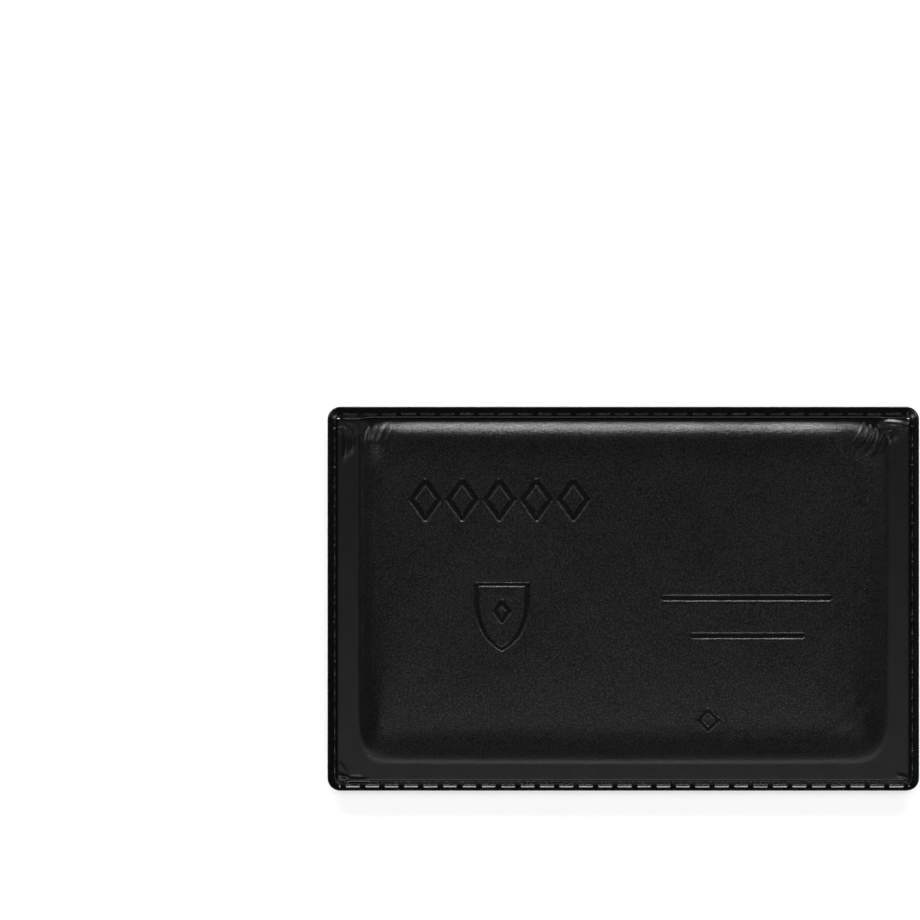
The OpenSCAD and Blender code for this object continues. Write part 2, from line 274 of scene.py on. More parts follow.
# Past the steep shoulder the padding still rises gently: its share of the height, and how much wider
GENTLE, REACH = 0.38, 2.2


def rise(x, y):
    """How far up the padding a point is: 0 on the flat bands, 1 past the shoulder."""
    across = np.minimum((x - PAD_LEFT) / SHOULDER["left"], (PAD_RIGHT - x) / SHOULDER["right"])
    along = np.minimum((y - PAD_LOW) / SHOULDER["near"], (pad_top - y) / SHOULDER["mouth"])
    square = SQUARE_NEAR + (SQUARE_MOUTH - SQUARE_NEAR) * np.clip(y / SQUARE_END, 0, 1)
    up = 0
    for share, wider in ((1 - GENTLE, 1), (GENTLE, REACH)):
        corner = np.maximum(1 - across / wider, 0) ** square + np.maximum(1 - along / wider, 0) ** square
        u = np.clip(1 - corner ** (1 / square), 0, 1)
        up = up + share * (1 - np.cos(np.pi * u * (1 + LEAN * (1 - u)))) / 2
    return up


# Slow, uneven swelling of the foam: wave length in X and Y, how high, and where it starts
SWELLS = [(61, 47, 0.045, 0.4), (-34, 29, 0.035, 1.9), (23, -38, 0.03, 4.1), (17, 21, 0.016, 2.6),
          (-14, 12, 0.012, 5.2), (10, -16, 0.01, 0.9)]
# The padding is this much lower, which makes room for the swells
SWELL_ROOM = 0.06


def padding(x, y):
    """Height of the smooth padding over the flat bands."""
    s = rise(x, y)
    middle_x, middle_y = (PAD_LEFT + PAD_RIGHT) / 2, (PAD_LOW + pad_top) / 2
    half_x, half_y = (PAD_RIGHT - PAD_LEFT) / 2, (pad_top - PAD_LOW) / 2
    dome = (1 - ((x - middle_x) / half_x) ** 2) * (1 - ((y - middle_y) / half_y) ** 2)
    swell = sum(h * np.sin(2 * np.pi * (x / a + y / b) + p) for a, b, h, p in SWELLS)
    return PAD_HEIGHT * s + CROWN * np.clip(dome, 0, 1) + s * (swell - SWELL_ROOM)


# %% [markdown]
# ### Folds and creases
# Each fold is a short bent line with a width and a height: positive stands up, negative sinks in. It
# is highest in the middle and fades to both ends. The folds at the corners are set one by one. The
# fine creases that the vinyl gets from being bent are drawn by a seeded random walk.

# %% Folds
FOLDS = [
    # mouth corner on the left: start, bend, end, half width, height
    ((-43.9, 26.2), (-43.4, 26.6), (-42.9, 26.0), 0.32, 0.24),
    ((-42.6, 27.2), (-42.2, 26.8), (-41.9, 26.2), 0.30, 0.20),
    ((-43.2, 26.4), (-42.6, 24.6), (-43.1, 21.6), 0.36, 0.17),
    ((-41.8, 27.0), (-41.2, 25.6), (-42.2, 22.4), 0.28, 0.17),
    ((-40.7, 27.6), (-40.6, 26.0), (-40.2, 22.9), 0.28, 0.15),
    ((-39.2, 27.6), (-39.0, 26.4), (-39.6, 23.4), 0.26, 0.13),
    ((-37.9, 27.3), (-38.2, 26.0), (-38.8, 24.4), 0.24, 0.10),
    ((-36.6, 27.3), (-37.0, 26.0), (-37.9, 24.2), 0.24, 0.09),
    ((-35.3, 27.3), (-35.8, 26.0), (-36.7, 24.2), 0.22, 0.07),
    ((-34.0, 27.2), (-34.5, 26.0), (-35.2, 24.8), 0.22, 0.05),
    # mouth corner on the right
    ((39.3, 27.1), (41.8, 27.35), (44.0, 26.8), 0.42, 0.40),
    ((36.9, 27.4), (37.0, 25.4), (34.3, 23.2), 0.25, 0.19),
    ((37.9, 27.4), (38.1, 25.4), (35.6, 22.8), 0.24, 0.18),
    ((38.8, 27.4), (39.3, 25.4), (36.7, 22.4), 0.25, 0.19),
    ((39.9, 26.9), (40.4, 25.2), (38.2, 22.2), 0.26, 0.18),
    ((41.2, 26.8), (41.2, 25.0), (39.6, 22.6), 0.26, 0.17),
    ((40.6, 26.2), (41.4, 25.6), (41.2, 24.2), 0.24, 0.15),
    ((42.4, 26.6), (42.2, 25.6), (41.9, 24.6), 0.26, 0.10),
    # near corners
    ((-44.1, -27.0), (-42.6, -28.0), (-39.6, -27.9), 0.24, 0.13),
    ((-43.6, -27.9), (-41.8, -27.3), (-40.2, -27.7), 0.20, -0.09),
    ((-43.9, -25.2), (-43.0, -26.2), (-42.8, -27.6), 0.22, 0.06),
    ((42.4, -27.2), (43.4, -27.4), (44.0, -27.9), 0.22, 0.10),
    # creases across the padding
    ((31.8, -20.6), (35.6, -18.0), (38.4, -13.8), 0.55, -0.10),
    ((33.6, -21.2), (37.2, -18.4), (39.4, -15.4), 0.40, 0.05),
    ((17.6, -18.2), (19.6, -19.6), (20.6, -21.6), 0.26, -0.05),
    ((19.0, -17.8), (20.6, -19.4), (22.0, -21.2), 0.26, -0.05),
    ((21.0, -17.8), (22.0, -19.2), (23.6, -20.8), 0.26, -0.04),
    ((22.0, 14.0), (24.5, 6.0), (23.0, -2.0), 0.50, -0.06),
    ((25.5, 12.0), (27.2, 4.0), (26.0, -5.0), 0.45, -0.05),
    ((19.0, 9.0), (20.6, 3.0), (19.6, -4.0), 0.40, -0.04),
    ((-36.2, 4.6), (-36.6, 3.2), (-36.2, 1.8), 0.24, -0.07),
]
# How many fine creases there are, and how long each of their steps is
CREASE_SEED, CREASES, CREASE_STEP = 11, 34, 0.9


def line_distance(x, y, line):
    """Distance of each point to a line of points, and how far along it the nearest place is."""
    best, place = np.full(x.shape, 1e9), np.zeros(x.shape)
    for i, (p, q) in enumerate(zip(line[:-1], line[1:])):
        step = q - p
        t = np.clip(((x - p[0]) * step[0] + (y - p[1]) * step[1]) / (step @ step), 0, 1)
        d = np.hypot(x - p[0] - t * step[0], y - p[1] - t * step[1])
        place = np.where(d < best, (i + t) / (len(line) - 1), place)
        best = np.minimum(best, d)
    return best, place


def bend(start, middle, end, steps=9):
    """Points along a bent line."""
    t = np.linspace(0, 1, steps)[:, None]
    start, middle, end = (np.array(p, float) for p in (start, middle, end))
    return (1 - t) ** 2 * start + 2 * t * (1 - t) * middle + t ** 2 * end


def crease_walks():
    """Fine creases, mostly along Y and more of them to the right, as (line, half width, depth)."""
    draw = np.random.default_rng(CREASE_SEED)
    walks = []
    for _ in range(CREASES):
        at = np.array([30 - 44 * draw.random() ** 1.6, draw.uniform(-16, 22)])
        heading = draw.normal(-math.pi / 2, 0.35)
        line = [at]
        for _ in range(draw.integers(4, 9)):
            heading += draw.normal(0, 0.35)
            at = at + CREASE_STEP * np.array([math.cos(heading), math.sin(heading)])
            line.append(at)
        walks.append((np.array(line), draw.uniform(0.3, 0.5), draw.uniform(-0.03, -0.012)))
    return walks


def folds(x, y):
    """Height that all the folds and creases add at each point."""
    lines = [(bend(a, b, c), w, h) for a, b, c, w, h in FOLDS] + crease_walks()
    z = np.zeros(x.shape)
    for line, width, high in lines:
        near = ((x > line[:, 0].min() - 3 * width) & (x < line[:, 0].max() + 3 * width)
                & (y > line[:, 1].min() - 3 * width) & (y < line[:, 1].max() + 3 * width))
        d, place = line_distance(x[near], y[near], line)
        z[near] += high * np.exp(-(d / width) ** 2) * np.sin(np.pi * np.clip(place, 0.02, 0.98)) ** 0.6
    return z


print("Folds:", len(FOLDS), "set one by one,", CREASES, "fine creases drawn at random")

# %% [markdown]
# ### Pressed marks
# A warm die presses a few plain marks into the skin before it is padded: a row of lozenges, a shield,
# two bars and one more lozenge. They are blind: they show by their shape, and by painted shade on their
# floors, which reflect less. Each is a line with a flat bottom and soft walls. A bump map could draw
# them, but real depth also catches the light from the side.

# %% Pressed marks
MARK_DEPTH, MARK_WALL = 0.21, 0.3
# The mesh is cut finer up to this far outside a line's edge
MARK_MARGIN = 0.45


def closed(points):
    """The points as a line that ends where it starts."""
    return np.array([*points, points[0]], float)


def lozenge(x, y, half_width, half_height):
    """Outline of a lozenge round a point."""
    return closed([(x - half_width, y), (x, y - half_height), (x + half_width, y), (x, y + half_height)])


def shield(x, y, half_width, high):
    """Outline of a plain shield: a straight top, upright sides, and two arcs that meet in a point."""
    side = bend((half_width, 0.1 * high), (half_width * 0.92, -0.35 * high), (0, -0.55 * high), 7)
    right = [(half_width, 0.45 * high), *side[:-1]]
    left = [(-px, py) for px, py in reversed(right)]
    return closed([(x + px, y + py) for px, py in [*right, (0, -0.55 * high), *left]])


MARKS = [(lozenge(-30.6 + 5.7 * i, 15.3, 2.1, 2.9), 0.24) for i in range(5)]
MARKS += [(shield(-18.8, -2.2, 3.9, 10.0), 0.16), (lozenge(-18.8, -1.9, 1.0, 1.5), 0.2)]
MARKS += [(np.array([(6.2, 0.2), (31.6, 0.2)]), 0.3), (np.array([(10.6, -5.6), (27.4, -5.6)]), 0.3)]
MARKS += [(lozenge(13.0, -18.6, 1.5, 1.5), 0.18)]


def marks(x, y):
    """How far the marks sink the skin at each point."""
    z = np.zeros(x.shape)
    for line, half_width in MARKS:
        reach = half_width + MARK_WALL + 0.05
        near = ((x > line[:, 0].min() - reach) & (x < line[:, 0].max() + reach)
                & (y > line[:, 1].min() - reach) & (y < line[:, 1].max() + reach))
        d, _ = line_distance(x[near], y[near], line)
        t = np.clip((half_width + MARK_WALL - d) / MARK_WALL, 0, 1)
        z[near] = np.minimum(z[near], -MARK_DEPTH * t * t * (3 - 2 * t))
    return z


def near_mark(x, y):
    """True where the mesh has to be fine, at a mark's line."""
    best = np.full(x.shape, 1e9)
    for line, half_width in MARKS:
        best = np.minimum(best, line_distance(x, y, line)[0] - half_width)
    return best < MARK_MARGIN


print("Marks:", len(MARKS), "lines,", MARK_DEPTH, "mm deep")

# %% [markdown]
# ### The skin's mesh
# The skin is one closed sheet. Its upper side is a grid of points that lie close together near the
# edges, where the folds are, and further apart in the middle. Only the faces under a pressed mark are
# cut finer. The underside follows a skin's thickness below on a grid half as fine, and four narrow
# walls close the edge. A value on each point says how much leather grain is left there: the press
# irons it nearly flat on the bands and at the weld.

# %% Skin
# How deep the groove along the skin's edge is on each side, and its half width
GROOVE = {"left": 0.05, "right": 0.12, "near": 0.14, "mouth": 0.03}
GROOVE_WIDTH = 0.13
# The finest and the middle steps of the grid, and how wide the fine margins are
FINE_STEP, MIDDLE_STEP_X, MIDDLE_STEP_Y = 0.18, 0.5, 0.45
MARGIN_LEFT, MARGIN_RIGHT, MARGIN_NEAR, MARGIN_MOUTH = 8.5, 10, 8, 6.5
# The share of leather grain that the press leaves on the bands, at the crumpled corners and at the edge
BAND_GRAIN, CRUMPLED_GRAIN, EDGE_GRAIN = 0.16, 0.8, 0.25


def spaced(low, high, margin_low, margin_high, fine, coarse):
    """Positions from low to high, fine within the margins and coarse between, an odd number of them."""
    first = np.arange(0, margin_low, fine)
    last = np.arange(0, margin_high, fine)
    inner = (high - low) - first[-1] - last[-1] - 2 * fine
    count = max(int(round(inner / coarse)), 2)
    count += (len(first) + len(last) + count) % 2
    middle = np.linspace(low + first[-1] + fine, high - last[-1] - fine, count + 1)
    return np.concatenate([low + first, middle, (high - last)[::-1]])


def skin_top(x, y):
    """Height of the skin's upper side."""
    inside = {"left": x - skin_low[0], "right": skin_high[0] - x,
              "near": y - skin_low[1], "mouth": skin_high[1] - y}
    groove = np.max([GROOVE[side] * np.exp(-(inside[side] / GROOVE_WIDTH) ** 2) for side in GROOVE], axis=0)
    wave = 0.004 * np.sin(0.9 * x + 0.5 * y) + 0.003 * np.sin(0.5 * y - 1.1 * x + 1)
    return band_z + padding(x, y) + folds(x, y) + marks(x, y) - groove + wave


def skin_under(x, y, top):
    """Height of the skin's underside, which never goes below the foil."""
    return np.maximum(foil_top, np.minimum(top, band_z + padding(x, y)) - SKIN_T)


xs = spaced(skin_low[0], skin_high[0], MARGIN_LEFT, MARGIN_RIGHT, FINE_STEP, MIDDLE_STEP_X)
ys = spaced(skin_low[1], skin_high[1], MARGIN_NEAR, MARGIN_MOUTH, FINE_STEP, MIDDLE_STEP_Y)
if len(xs) % 2 == 0 or len(ys) % 2 == 0:
    raise ValueError("the coarse underside needs an odd number of grid lines")
gx, gy = np.meshgrid(xs, ys)
cx, cy = np.meshgrid(xs[::2], ys[::2])
nx, ny = len(xs), len(ys)
mx, my = len(xs[::2]), len(ys[::2])
top_points = np.column_stack([gx.ravel(), gy.ravel(), skin_top(gx.ravel(), gy.ravel())])
under_z = skin_under(cx.ravel(), cy.ravel(), skin_top(cx.ravel(), cy.ravel()))
under_points = np.column_stack([cx.ravel(), cy.ravel(), under_z])
first_under = nx * ny
faces = [(j * nx + i, j * nx + i + 1, (j + 1) * nx + i + 1, (j + 1) * nx + i)
         for j in range(ny - 1) for i in range(nx - 1)]
faces += [(first_under + j * mx + i, first_under + (j + 1) * mx + i,
           first_under + (j + 1) * mx + i + 1, first_under + j * mx + i + 1)
          for j in range(my - 1) for i in range(mx - 1)]
# Each side of the grid: its points on the upper side, on the underside, and whether its wall is turned
edges = [(list(range(nx)), list(range(mx)), False),
         ([(ny - 1) * nx + i for i in range(nx)], [(my - 1) * mx + i for i in range(mx)], True),
         ([j * nx for j in range(ny)], [j * mx for j in range(my)], True),
         ([j * nx + nx - 1 for j in range(ny)], [j * mx + mx - 1 for j in range(my)], False)]
for upper, lower, turned in edges:
    for k in range(len(lower) - 1):
        wall = [first_under + lower[k], first_under + lower[k + 1],
                upper[2 * k + 2], upper[2 * k + 1], upper[2 * k]]
        faces.append(tuple(reversed(wall)) if turned else tuple(wall))
skin = new_piece("padded_skin", np.vstack([top_points, under_points]), faces)

fine = bmesh.new()
fine.from_mesh(skin.data)
centres = np.array([f.calc_center_median()[:] for f in fine.faces]) / MM
upward = np.array([f.normal.z > 0.3 for f in fine.faces])
wanted = near_mark(centres[:, 0], centres[:, 1]) & upward
fine.faces.ensure_lookup_table()
cut = {e for f, w in zip(fine.faces, wanted) if w for e in f.edges}
bmesh.ops.subdivide_edges(fine, edges=list(cut), cuts=3, use_grid_fill=True)
fine.to_mesh(skin.data)
fine.free()

co = np.zeros(len(skin.data.vertices) * 3)
skin.data.vertices.foreach_get("co", co)
co = co.reshape(-1, 3) / MM
added = np.arange(len(co)) >= len(top_points) + len(under_points)
co[added, 2] = skin_top(co[added, 0], co[added, 1])
skin.data.vertices.foreach_set("co", (co * MM).ravel())
skin.data.update()
skin.data.set_sharp_from_angle(angle=math.radians(SHARP))

edge = np.minimum(np.minimum(co[:, 0] - skin_low[0], skin_high[0] - co[:, 0]),
                  np.minimum(co[:, 1] - skin_low[1], skin_high[1] - co[:, 1]))
grain_left = np.clip(BAND_GRAIN + (1 - BAND_GRAIN) * rise(co[:, 0], co[:, 1]) ** 0.35, 0, 1)
for x in (PAD_LEFT - 1, PAD_RIGHT + 1):
    crumpled = np.exp(-((co[:, 0] - x) / 3) ** 2 - ((co[:, 1] - pad_top) / 3) ** 4)
    grain_left = np.maximum(grain_left, CRUMPLED_GRAIN * crumpled)
grain_left *= np.clip(edge / 0.5, EDGE_GRAIN, 1)
layer = skin.data.attributes.new("grain_left", "FLOAT", "POINT")
layer.data.foreach_set("value", grain_left)
# How deep each point lies in a pressed mark. The vinyl paints shade on the marks' floors from it.
layer = skin.data.attributes.new("pressed", "FLOAT", "POINT")
layer.data.foreach_set("value", marks(co[:, 0], co[:, 1]) / -MARK_DEPTH * (co[:, 2] > band_z))
print("Skin:", len(skin.data.vertices), "points,", len(skin.data.polygons), "faces, top at",
      round(co[:, 2].max(), 3), "mm")

# %% [markdown]
# ## The foam
# The foam is a soft block, die-cut a little smaller than the panel and squeezed by the skin. Rings of
# its outline are stacked from the foot inwards, and each point is dropped to just under the skin. It
# is hidden on the whole sleeve, and shows where someone takes the model apart.

# %% Foam
# The gap under the skin, and how far up the shoulder the foam's foot is
FOAM_PLAY = 0.05
FOAM_FOOT = 0.22
CORNER_STEPS, SIDE_STEPS = 8, 24


def foam_ring(u, shrink):
    """One ring of the foam's outline. u is how far it is up the shoulder; shrink draws it inwards."""
    x0, x1 = PAD_LEFT + u * SHOULDER["left"], PAD_RIGHT - u * SHOULDER["right"]
    y0, y1 = PAD_LOW + u * SHOULDER["near"], pad_top - u * SHOULDER["mouth"]
    round_x = {0: (1 - u) * SHOULDER["right"], 1: (1 - u) * SHOULDER["left"]}
    round_y = {0: (1 - u) * SHOULDER["mouth"], 1: (1 - u) * SHOULDER["near"]}

    def on_corner(quarter, turned):
        left, near = quarter in (1, 2), quarter in (2, 3)
        rx, ry = round_x[left], round_y[near]
        mid = ((x0 + rx) if left else (x1 - rx), (y0 + ry) if near else (y1 - ry))
        a = math.pi / 2 * (quarter + turned)
        return mid[0] + rx * math.cos(a), mid[1] + ry * math.sin(a)

    ring = []
    for quarter in range(4):
        ring += [on_corner(quarter, k / CORNER_STEPS) for k in range(CORNER_STEPS + 1)]
        start, goal = ring[-1], on_corner((quarter + 1) % 4, 0)
        ring += [tuple(np.array(start) + (np.array(goal) - start) * k / SIDE_STEPS)
                 for k in range(1, SIDE_STEPS)]
    ring = np.array(ring)
    middle = np.array([(x0 + x1) / 2, (y0 + y1) / 2])
    return middle + (ring - middle) * shrink


rings = [(FOAM_FOOT, 1.0)] + [(u, 1.0) for u in (0.26, 0.34, 0.44, 0.56, 0.7, 0.85, 1.0)]
rings += [(1.0, s) for s in (0.86, 0.7, 0.52, 0.34, 0.16)]
points = []
for k, (u, shrink) in enumerate(rings):
    outline = foam_ring(u, shrink)
    z = skin_under(outline[:, 0], outline[:, 1],
                   band_z + padding(outline[:, 0], outline[:, 1])) - FOAM_PLAY
    z = np.full(len(outline), foil_top) if k == 0 else z + marks(outline[:, 0], outline[:, 1])
    points.append(np.column_stack([outline, z]))
count = len(points[0])
faces = [tuple(reversed(range(count)))]
faces += [(k * count + i, k * count + (i + 1) % count,
           (k + 1) * count + (i + 1) % count, (k + 1) * count + i)
          for k in range(len(rings) - 1) for i in range(count)]
faces.append(tuple((len(rings) - 1) * count + i for i in range(count)))
foam = new_piece("foam_core", np.vstack(points), faces)
print("Foam:", len(foam.data.vertices), "points, up to", round(np.vstack(points)[:, 2].max(), 2), "mm")

# %% [markdown]
# ## The melted rim
# A heated tool melts all the sheets into one bead and cuts it off, so the real rim is one piece all
# round: a groove along its inner side, a lip, a trough with the imitation stitches, and a rounded
# outer edge that the squeezed-out vinyl makes a little wavy. It is a section carried round the
# outline. The section changes at the mouth, where the rim joins only the skin and the lining, because
# the card has to pass below it. A section's points are the distance in from the outer edge and the
# height over the table.

# %% Rim
CORNER_R = 2.0
WELD_W, HEM_W = 1.45, 1.95
RIM_STEP, CORNER_STEP = 0.3, 0.22
# How far the squeezed-out vinyl wanders at the outer edge, in height, and on the lip
EDGE_WAVE, HEIGHT_WAVE, LIP_WAVE = 0.008, 0.008, 0.012
# Where the sheet is tucked into the hem at the mouth's two corners: place along X, half length, height
TUCKS = [(-41.8, 2.0, 0.22), (41.9, 2.0, 0.12)]
TUCK_INSET, TUCK_WIDTH = 1.85, 0.34
FULL_SECTION = [(1.45, 1.30), (1.45, 1.435), (1.38, 1.47), (1.30, 1.505), (1.22, 1.53), (1.15, 1.54),
                (1.08, 1.53), (1.0, 1.50), (0.93, 1.47), (0.55, 1.37), (0.2, 1.275), (0.08, 1.24),
                (0.03, 1.17), (0.0, 1.06), (0.0, 0.92), (0.04, 0.80), (0.14, 0.71), (0.28, 0.64),
                (0.55, 0.45), (0.85, 0.29), (1.15, 0.13), (1.32, 0.04), (1.45, 0.0), (1.45, 0.65)]
HEM_SECTION = [(1.45, 1.32), (1.45, 1.45), (1.38, 1.505), (1.30, 1.545), (1.22, 1.577), (1.17, 1.582),
               (1.09, 1.553), (0.99, 1.525), (0.8, 1.475), (0.5, 1.40), (0.2, 1.335), (0.08, 1.305),
               (0.03, 1.25), (0.0, 1.19), (0.0, 1.12), (0.02, 1.07), (0.08, 1.035), (0.16, 1.02),
               (0.4, 1.02), (0.7, 1.02), (1.0, 1.02), (1.25, 1.02), (1.45, 1.02), (1.45, 1.15)]


def rounded_outline(inset, step):
    """Points, inward directions and corner angles along the sleeve's outline, anticlockwise."""
    hx, hy = rim_high[0] - CORNER_R, (rim_high[1] - rim_low[1]) / 2 - CORNER_R
    r = CORNER_R - inset
    found = []
    for quarter, (sx, sy) in enumerate([(1, -1), (1, 1), (-1, 1), (-1, -1)]):
        a0 = math.pi / 2 * (quarter - 1)
        n = max(int(round(r * math.pi / 2 / min(step, CORNER_STEP))), 4)
        for k in range(n + 1):
            a = a0 + math.pi / 2 * k / n
            out = np.array([math.cos(a), math.sin(a)])
            found.append((np.array([sx * hx, sy * hy]) + r * out, -out, math.degrees(a)))
        sx2, sy2 = [(1, 1), (-1, 1), (-1, -1), (1, -1)][quarter]
        out = np.array([math.cos(a0 + math.pi / 2), math.sin(a0 + math.pi / 2)])
        goal = np.array([sx2 * hx, sy2 * hy]) + r * out
        start = found[-1][0]
        n = int(round(np.linalg.norm(goal - start) / step))
        for k in range(1, n):
            found.append((start + (goal - start) * k / n, -out, math.degrees(a0) + 90))
    return (np.array([f[0] for f in found]), np.array([f[1] for f in found]),
            np.array([f[2] for f in found]))


def smooth(t):
    """0 up to 0 and 1 from 1 on, with a soft S between."""
    t = np.clip(t, 0, 1)
    return t * t * (3 - 2 * t)


def round_wave(turn, harmonics, seed):
    """Waviness along the rim that closes on itself."""
    draw = np.random.default_rng(seed)
    waves = [draw.uniform(0.5, 1) * np.sin(h * turn + draw.uniform(0, 6.28)) for h in harmonics]
    return sum(waves) / len(harmonics)


outline, inward, angle = rounded_outline(0.0, RIM_STEP)
length = np.concatenate([[0], np.cumsum(np.linalg.norm(np.diff(outline, axis=0), axis=1))])
turn = 2 * np.pi * length / (length[-1] + RIM_STEP)
# Both are largest along the mouth: hem mixes the two sections, depth widens them
hem = smooth((angle - 55) / 35) * smooth((125 - angle) / 35)
depth = 1 + (HEM_W / WELD_W - 1) * smooth((angle - 5) / 80) * smooth((175 - angle) / 80)
wavy = round_wave(turn, (23, 37, 61, 89, 140), 3)
lumpy = round_wave(turn, (41, 67, 103, 151), 5)
points = []
for section_full, section_hem in zip(FULL_SECTION, HEM_SECTION):
    t = (1 - hem) * section_full[0] + hem * section_hem[0]
    z = (1 - hem) * section_full[1] + hem * section_hem[1]
    outer = smooth((0.5 - t) / 0.5)
    inner = smooth((t - 0.95) / 0.3) * (z > 1.4)
    t = t * (1 + (depth - 1) * smooth(t / WELD_W)) + EDGE_WAVE * (wavy + 1) * outer
    z = z + HEIGHT_WAVE * lumpy * (z > 1.2) + LIP_WAVE * wavy * inner
    xy = outline + inward * t[:, None]
    if section_full[1] > 1.4:
        for x, half_length, high in TUCKS:
            across = ((t - TUCK_INSET) / TUCK_WIDTH) ** 2
            z = z + high * hem * np.exp(-((xy[:, 0] - x) / half_length) ** 4 - across)
    points.append(np.column_stack([xy, z]))
stations, ring = len(outline), len(FULL_SECTION)
points = np.stack(points, axis=1).reshape(-1, 3)
faces = [(k * ring + i, k * ring + (i + 1) % ring,
          (k + 1) % stations * ring + (i + 1) % ring, (k + 1) % stations * ring + i)
         for k in range(stations) for i in range(ring)]
rim = new_piece("melted_rim", points, faces)
print("Rim:", stations, "stations,", len(faces), "faces, outline", round(length[-1], 1), "mm")

# %% [markdown]
# ## The imitation stitches
# The welding tool has a row of small wedges that print stitches all round, 98 of them 3 mm apart. That
# is a repeat along a path, which Geometry Nodes does well: the tree copies one small bar along a
# straight row, each a little different, joins the copies into one mesh, and wraps that row round the
# rim, so that a bar in a corner bends with it. How high the bars stand and how steep they are is read
# from the path, because the tool presses harder at the mouth and in the corners. The same tree makes
# the row that prints through on the window's side, on the three welds alone: at the mouth the film
# has a free edge, and the card passes there.

# %% One stitch
# A bar's length, its section across the rim, and how its size and height change along it. Its ends
# slope down and sink into the rim, and no point of it goes deeper than its section does.
STITCH_L = 2.68
BAR_SECTION = [(0.42, -0.20), (0.40, 0.0), (0.36, 0.033), (0.29, 0.047), (0.20, 0.055), (0.14, 0.025),
               (-0.13, -0.183), (-0.30, -0.32), (-0.32, -0.45), (0.05, -0.48)]
BAR_STATIONS = [(-0.5, 0.8, -0.32), (-0.492, 0.95, -0.25), (-0.39, 1.0, -0.02), (-0.36, 1.0, 0.0),
                (0.36, 1.0, 0.0), (0.39, 1.0, -0.02), (0.492, 0.95, -0.25), (0.5, 0.8, -0.32)]

lowest = min(z for _, z in BAR_SECTION)
points = [(at * STITCH_L, y * size, max(z * size + drop, lowest))
          for at, size, drop in BAR_STATIONS for y, z in BAR_SECTION]
n = len(BAR_SECTION)
faces = [(k * n + i, k * n + (i + 1) % n, (k + 1) * n + (i + 1) % n, (k + 1) * n + i)
         for k in range(len(BAR_STATIONS) - 1) for i in range(n)]
faces += [tuple(reversed(range(n))), tuple((len(BAR_STATIONS) - 1) * n + i for i in range(n))]
bar = new_piece("stitch_bar", points, faces)
print("Stitch bar:", len(faces), "faces")

# %% Tree for a row of stitches
row = bpy.data.node_groups.new("row_of_stitches", "GeometryNodeTree")
for name, kind, value in (
        ("Path", "NodeSocketGeometry", None), ("Bar", "NodeSocketObject", None),
        ("Count", "NodeSocketInt", 98), ("Pitch", "NodeSocketFloat", 0.003),
        ("Start", "NodeSocketFloat", 0.0), ("Up", "NodeSocketVector", (0, 0, 1)),
        ("Seed", "NodeSocketInt", 1), ("Material", "NodeSocketMaterial", None)):
    socket = row.interface.new_socket(name, in_out="INPUT", socket_type=kind)
    if value is not None:
        socket.default_value = value
row.interface.new_socket("Stitches", in_out="OUTPUT", socket_type="NodeSocketGeometry")
given = add(row, "NodeGroupInput").outputs
curve = add(row, "GeometryNodeMeshToCurve", {"Mesh": given["Path"]}).outputs["Curve"]
start = add(row, "ShaderNodeCombineXYZ", {"X": given["Start"]}).outputs[0]
step = add(row, "ShaderNodeCombineXYZ", {"X": given["Pitch"]}).outputs[0]
places = add(row, "GeometryNodeMeshLine", {
    "Count": given["Count"], "Start Location": start, "Offset": step}).outputs["Mesh"]
size = add(row, "FunctionNodeRandomValue", {
    "Min": (0.96, 0.97, 0.96), "Max": (1.02, 1.03, 1.04), "Seed": given["Seed"]}, data_type="FLOAT_VECTOR")
shape = add(row, "GeometryNodeObjectInfo", {"Object": given["Bar"]}).outputs["Geometry"]
copies = add(row, "GeometryNodeInstanceOnPoints", {
    "Points": places, "Instance": shape, "Scale": size.outputs["Value"]}).outputs["Instances"]
joined = add(row, "GeometryNodeRealizeInstances", {"Geometry": copies}).outputs["Geometry"]
here = add(row, "ShaderNodeSeparateXYZ", {0: add(row, "GeometryNodeInputPosition").outputs[0]}).outputs
press = add(row, "GeometryNodeInputNamedAttribute", {"Name": "press"},
            data_type="FLOAT_VECTOR").outputs["Attribute"]
on_path = add(row, "GeometryNodeSampleCurve", {
    "Curves": curve, "Value": press, "Length": here["X"]},
    mode="LENGTH", data_type="FLOAT_VECTOR", use_all_curves=True).outputs
pressed = add(row, "ShaderNodeSeparateXYZ", {0: on_path["Value"]}).outputs
aside = add(row, "ShaderNodeVectorMath", {0: given["Up"], 1: on_path["Tangent"]}, operation="CROSS_PRODUCT")
aside = add(row, "ShaderNodeVectorMath", {0: aside.outputs[0]}, operation="NORMALIZE")
sideways = add(row, "ShaderNodeVectorMath", {0: aside.outputs[0], "Scale": here["Y"]}, operation="SCALE")
level = add(row, "ShaderNodeMath", {
    0: here["Z"], 1: pressed["Y"], 2: pressed["X"]}, operation="MULTIPLY_ADD").outputs[0]
upwards = add(row, "ShaderNodeVectorMath", {0: given["Up"], "Scale": level}, operation="SCALE")
place = add(row, "ShaderNodeVectorMath", {0: on_path["Position"], 1: sideways.outputs[0]}, operation="ADD")
place = add(row, "ShaderNodeVectorMath", {0: place.outputs[0], 1: upwards.outputs[0]}, operation="ADD")
wrapped = add(row, "GeometryNodeSetPosition", {"Geometry": joined, "Position": place.outputs[0]})
dressed = add(row, "GeometryNodeSetMaterial", {
    "Geometry": wrapped.outputs[0], "Material": given["Material"]}).outputs[0]
add(row, "NodeGroupOutput", {"Stitches": dressed})
print("Tree for the stitches:", len(row.nodes), "nodes")

# %% [markdown]
# ## Finishes
# Every finish starts from what the real surface is and how it was made. Patterns are worked out in
# millimetres on Object coordinates, which stay with a piece wherever it moves. Inputs 0 to 4 of a Map
# Range are the value, the range that it comes from and the range that it goes to.

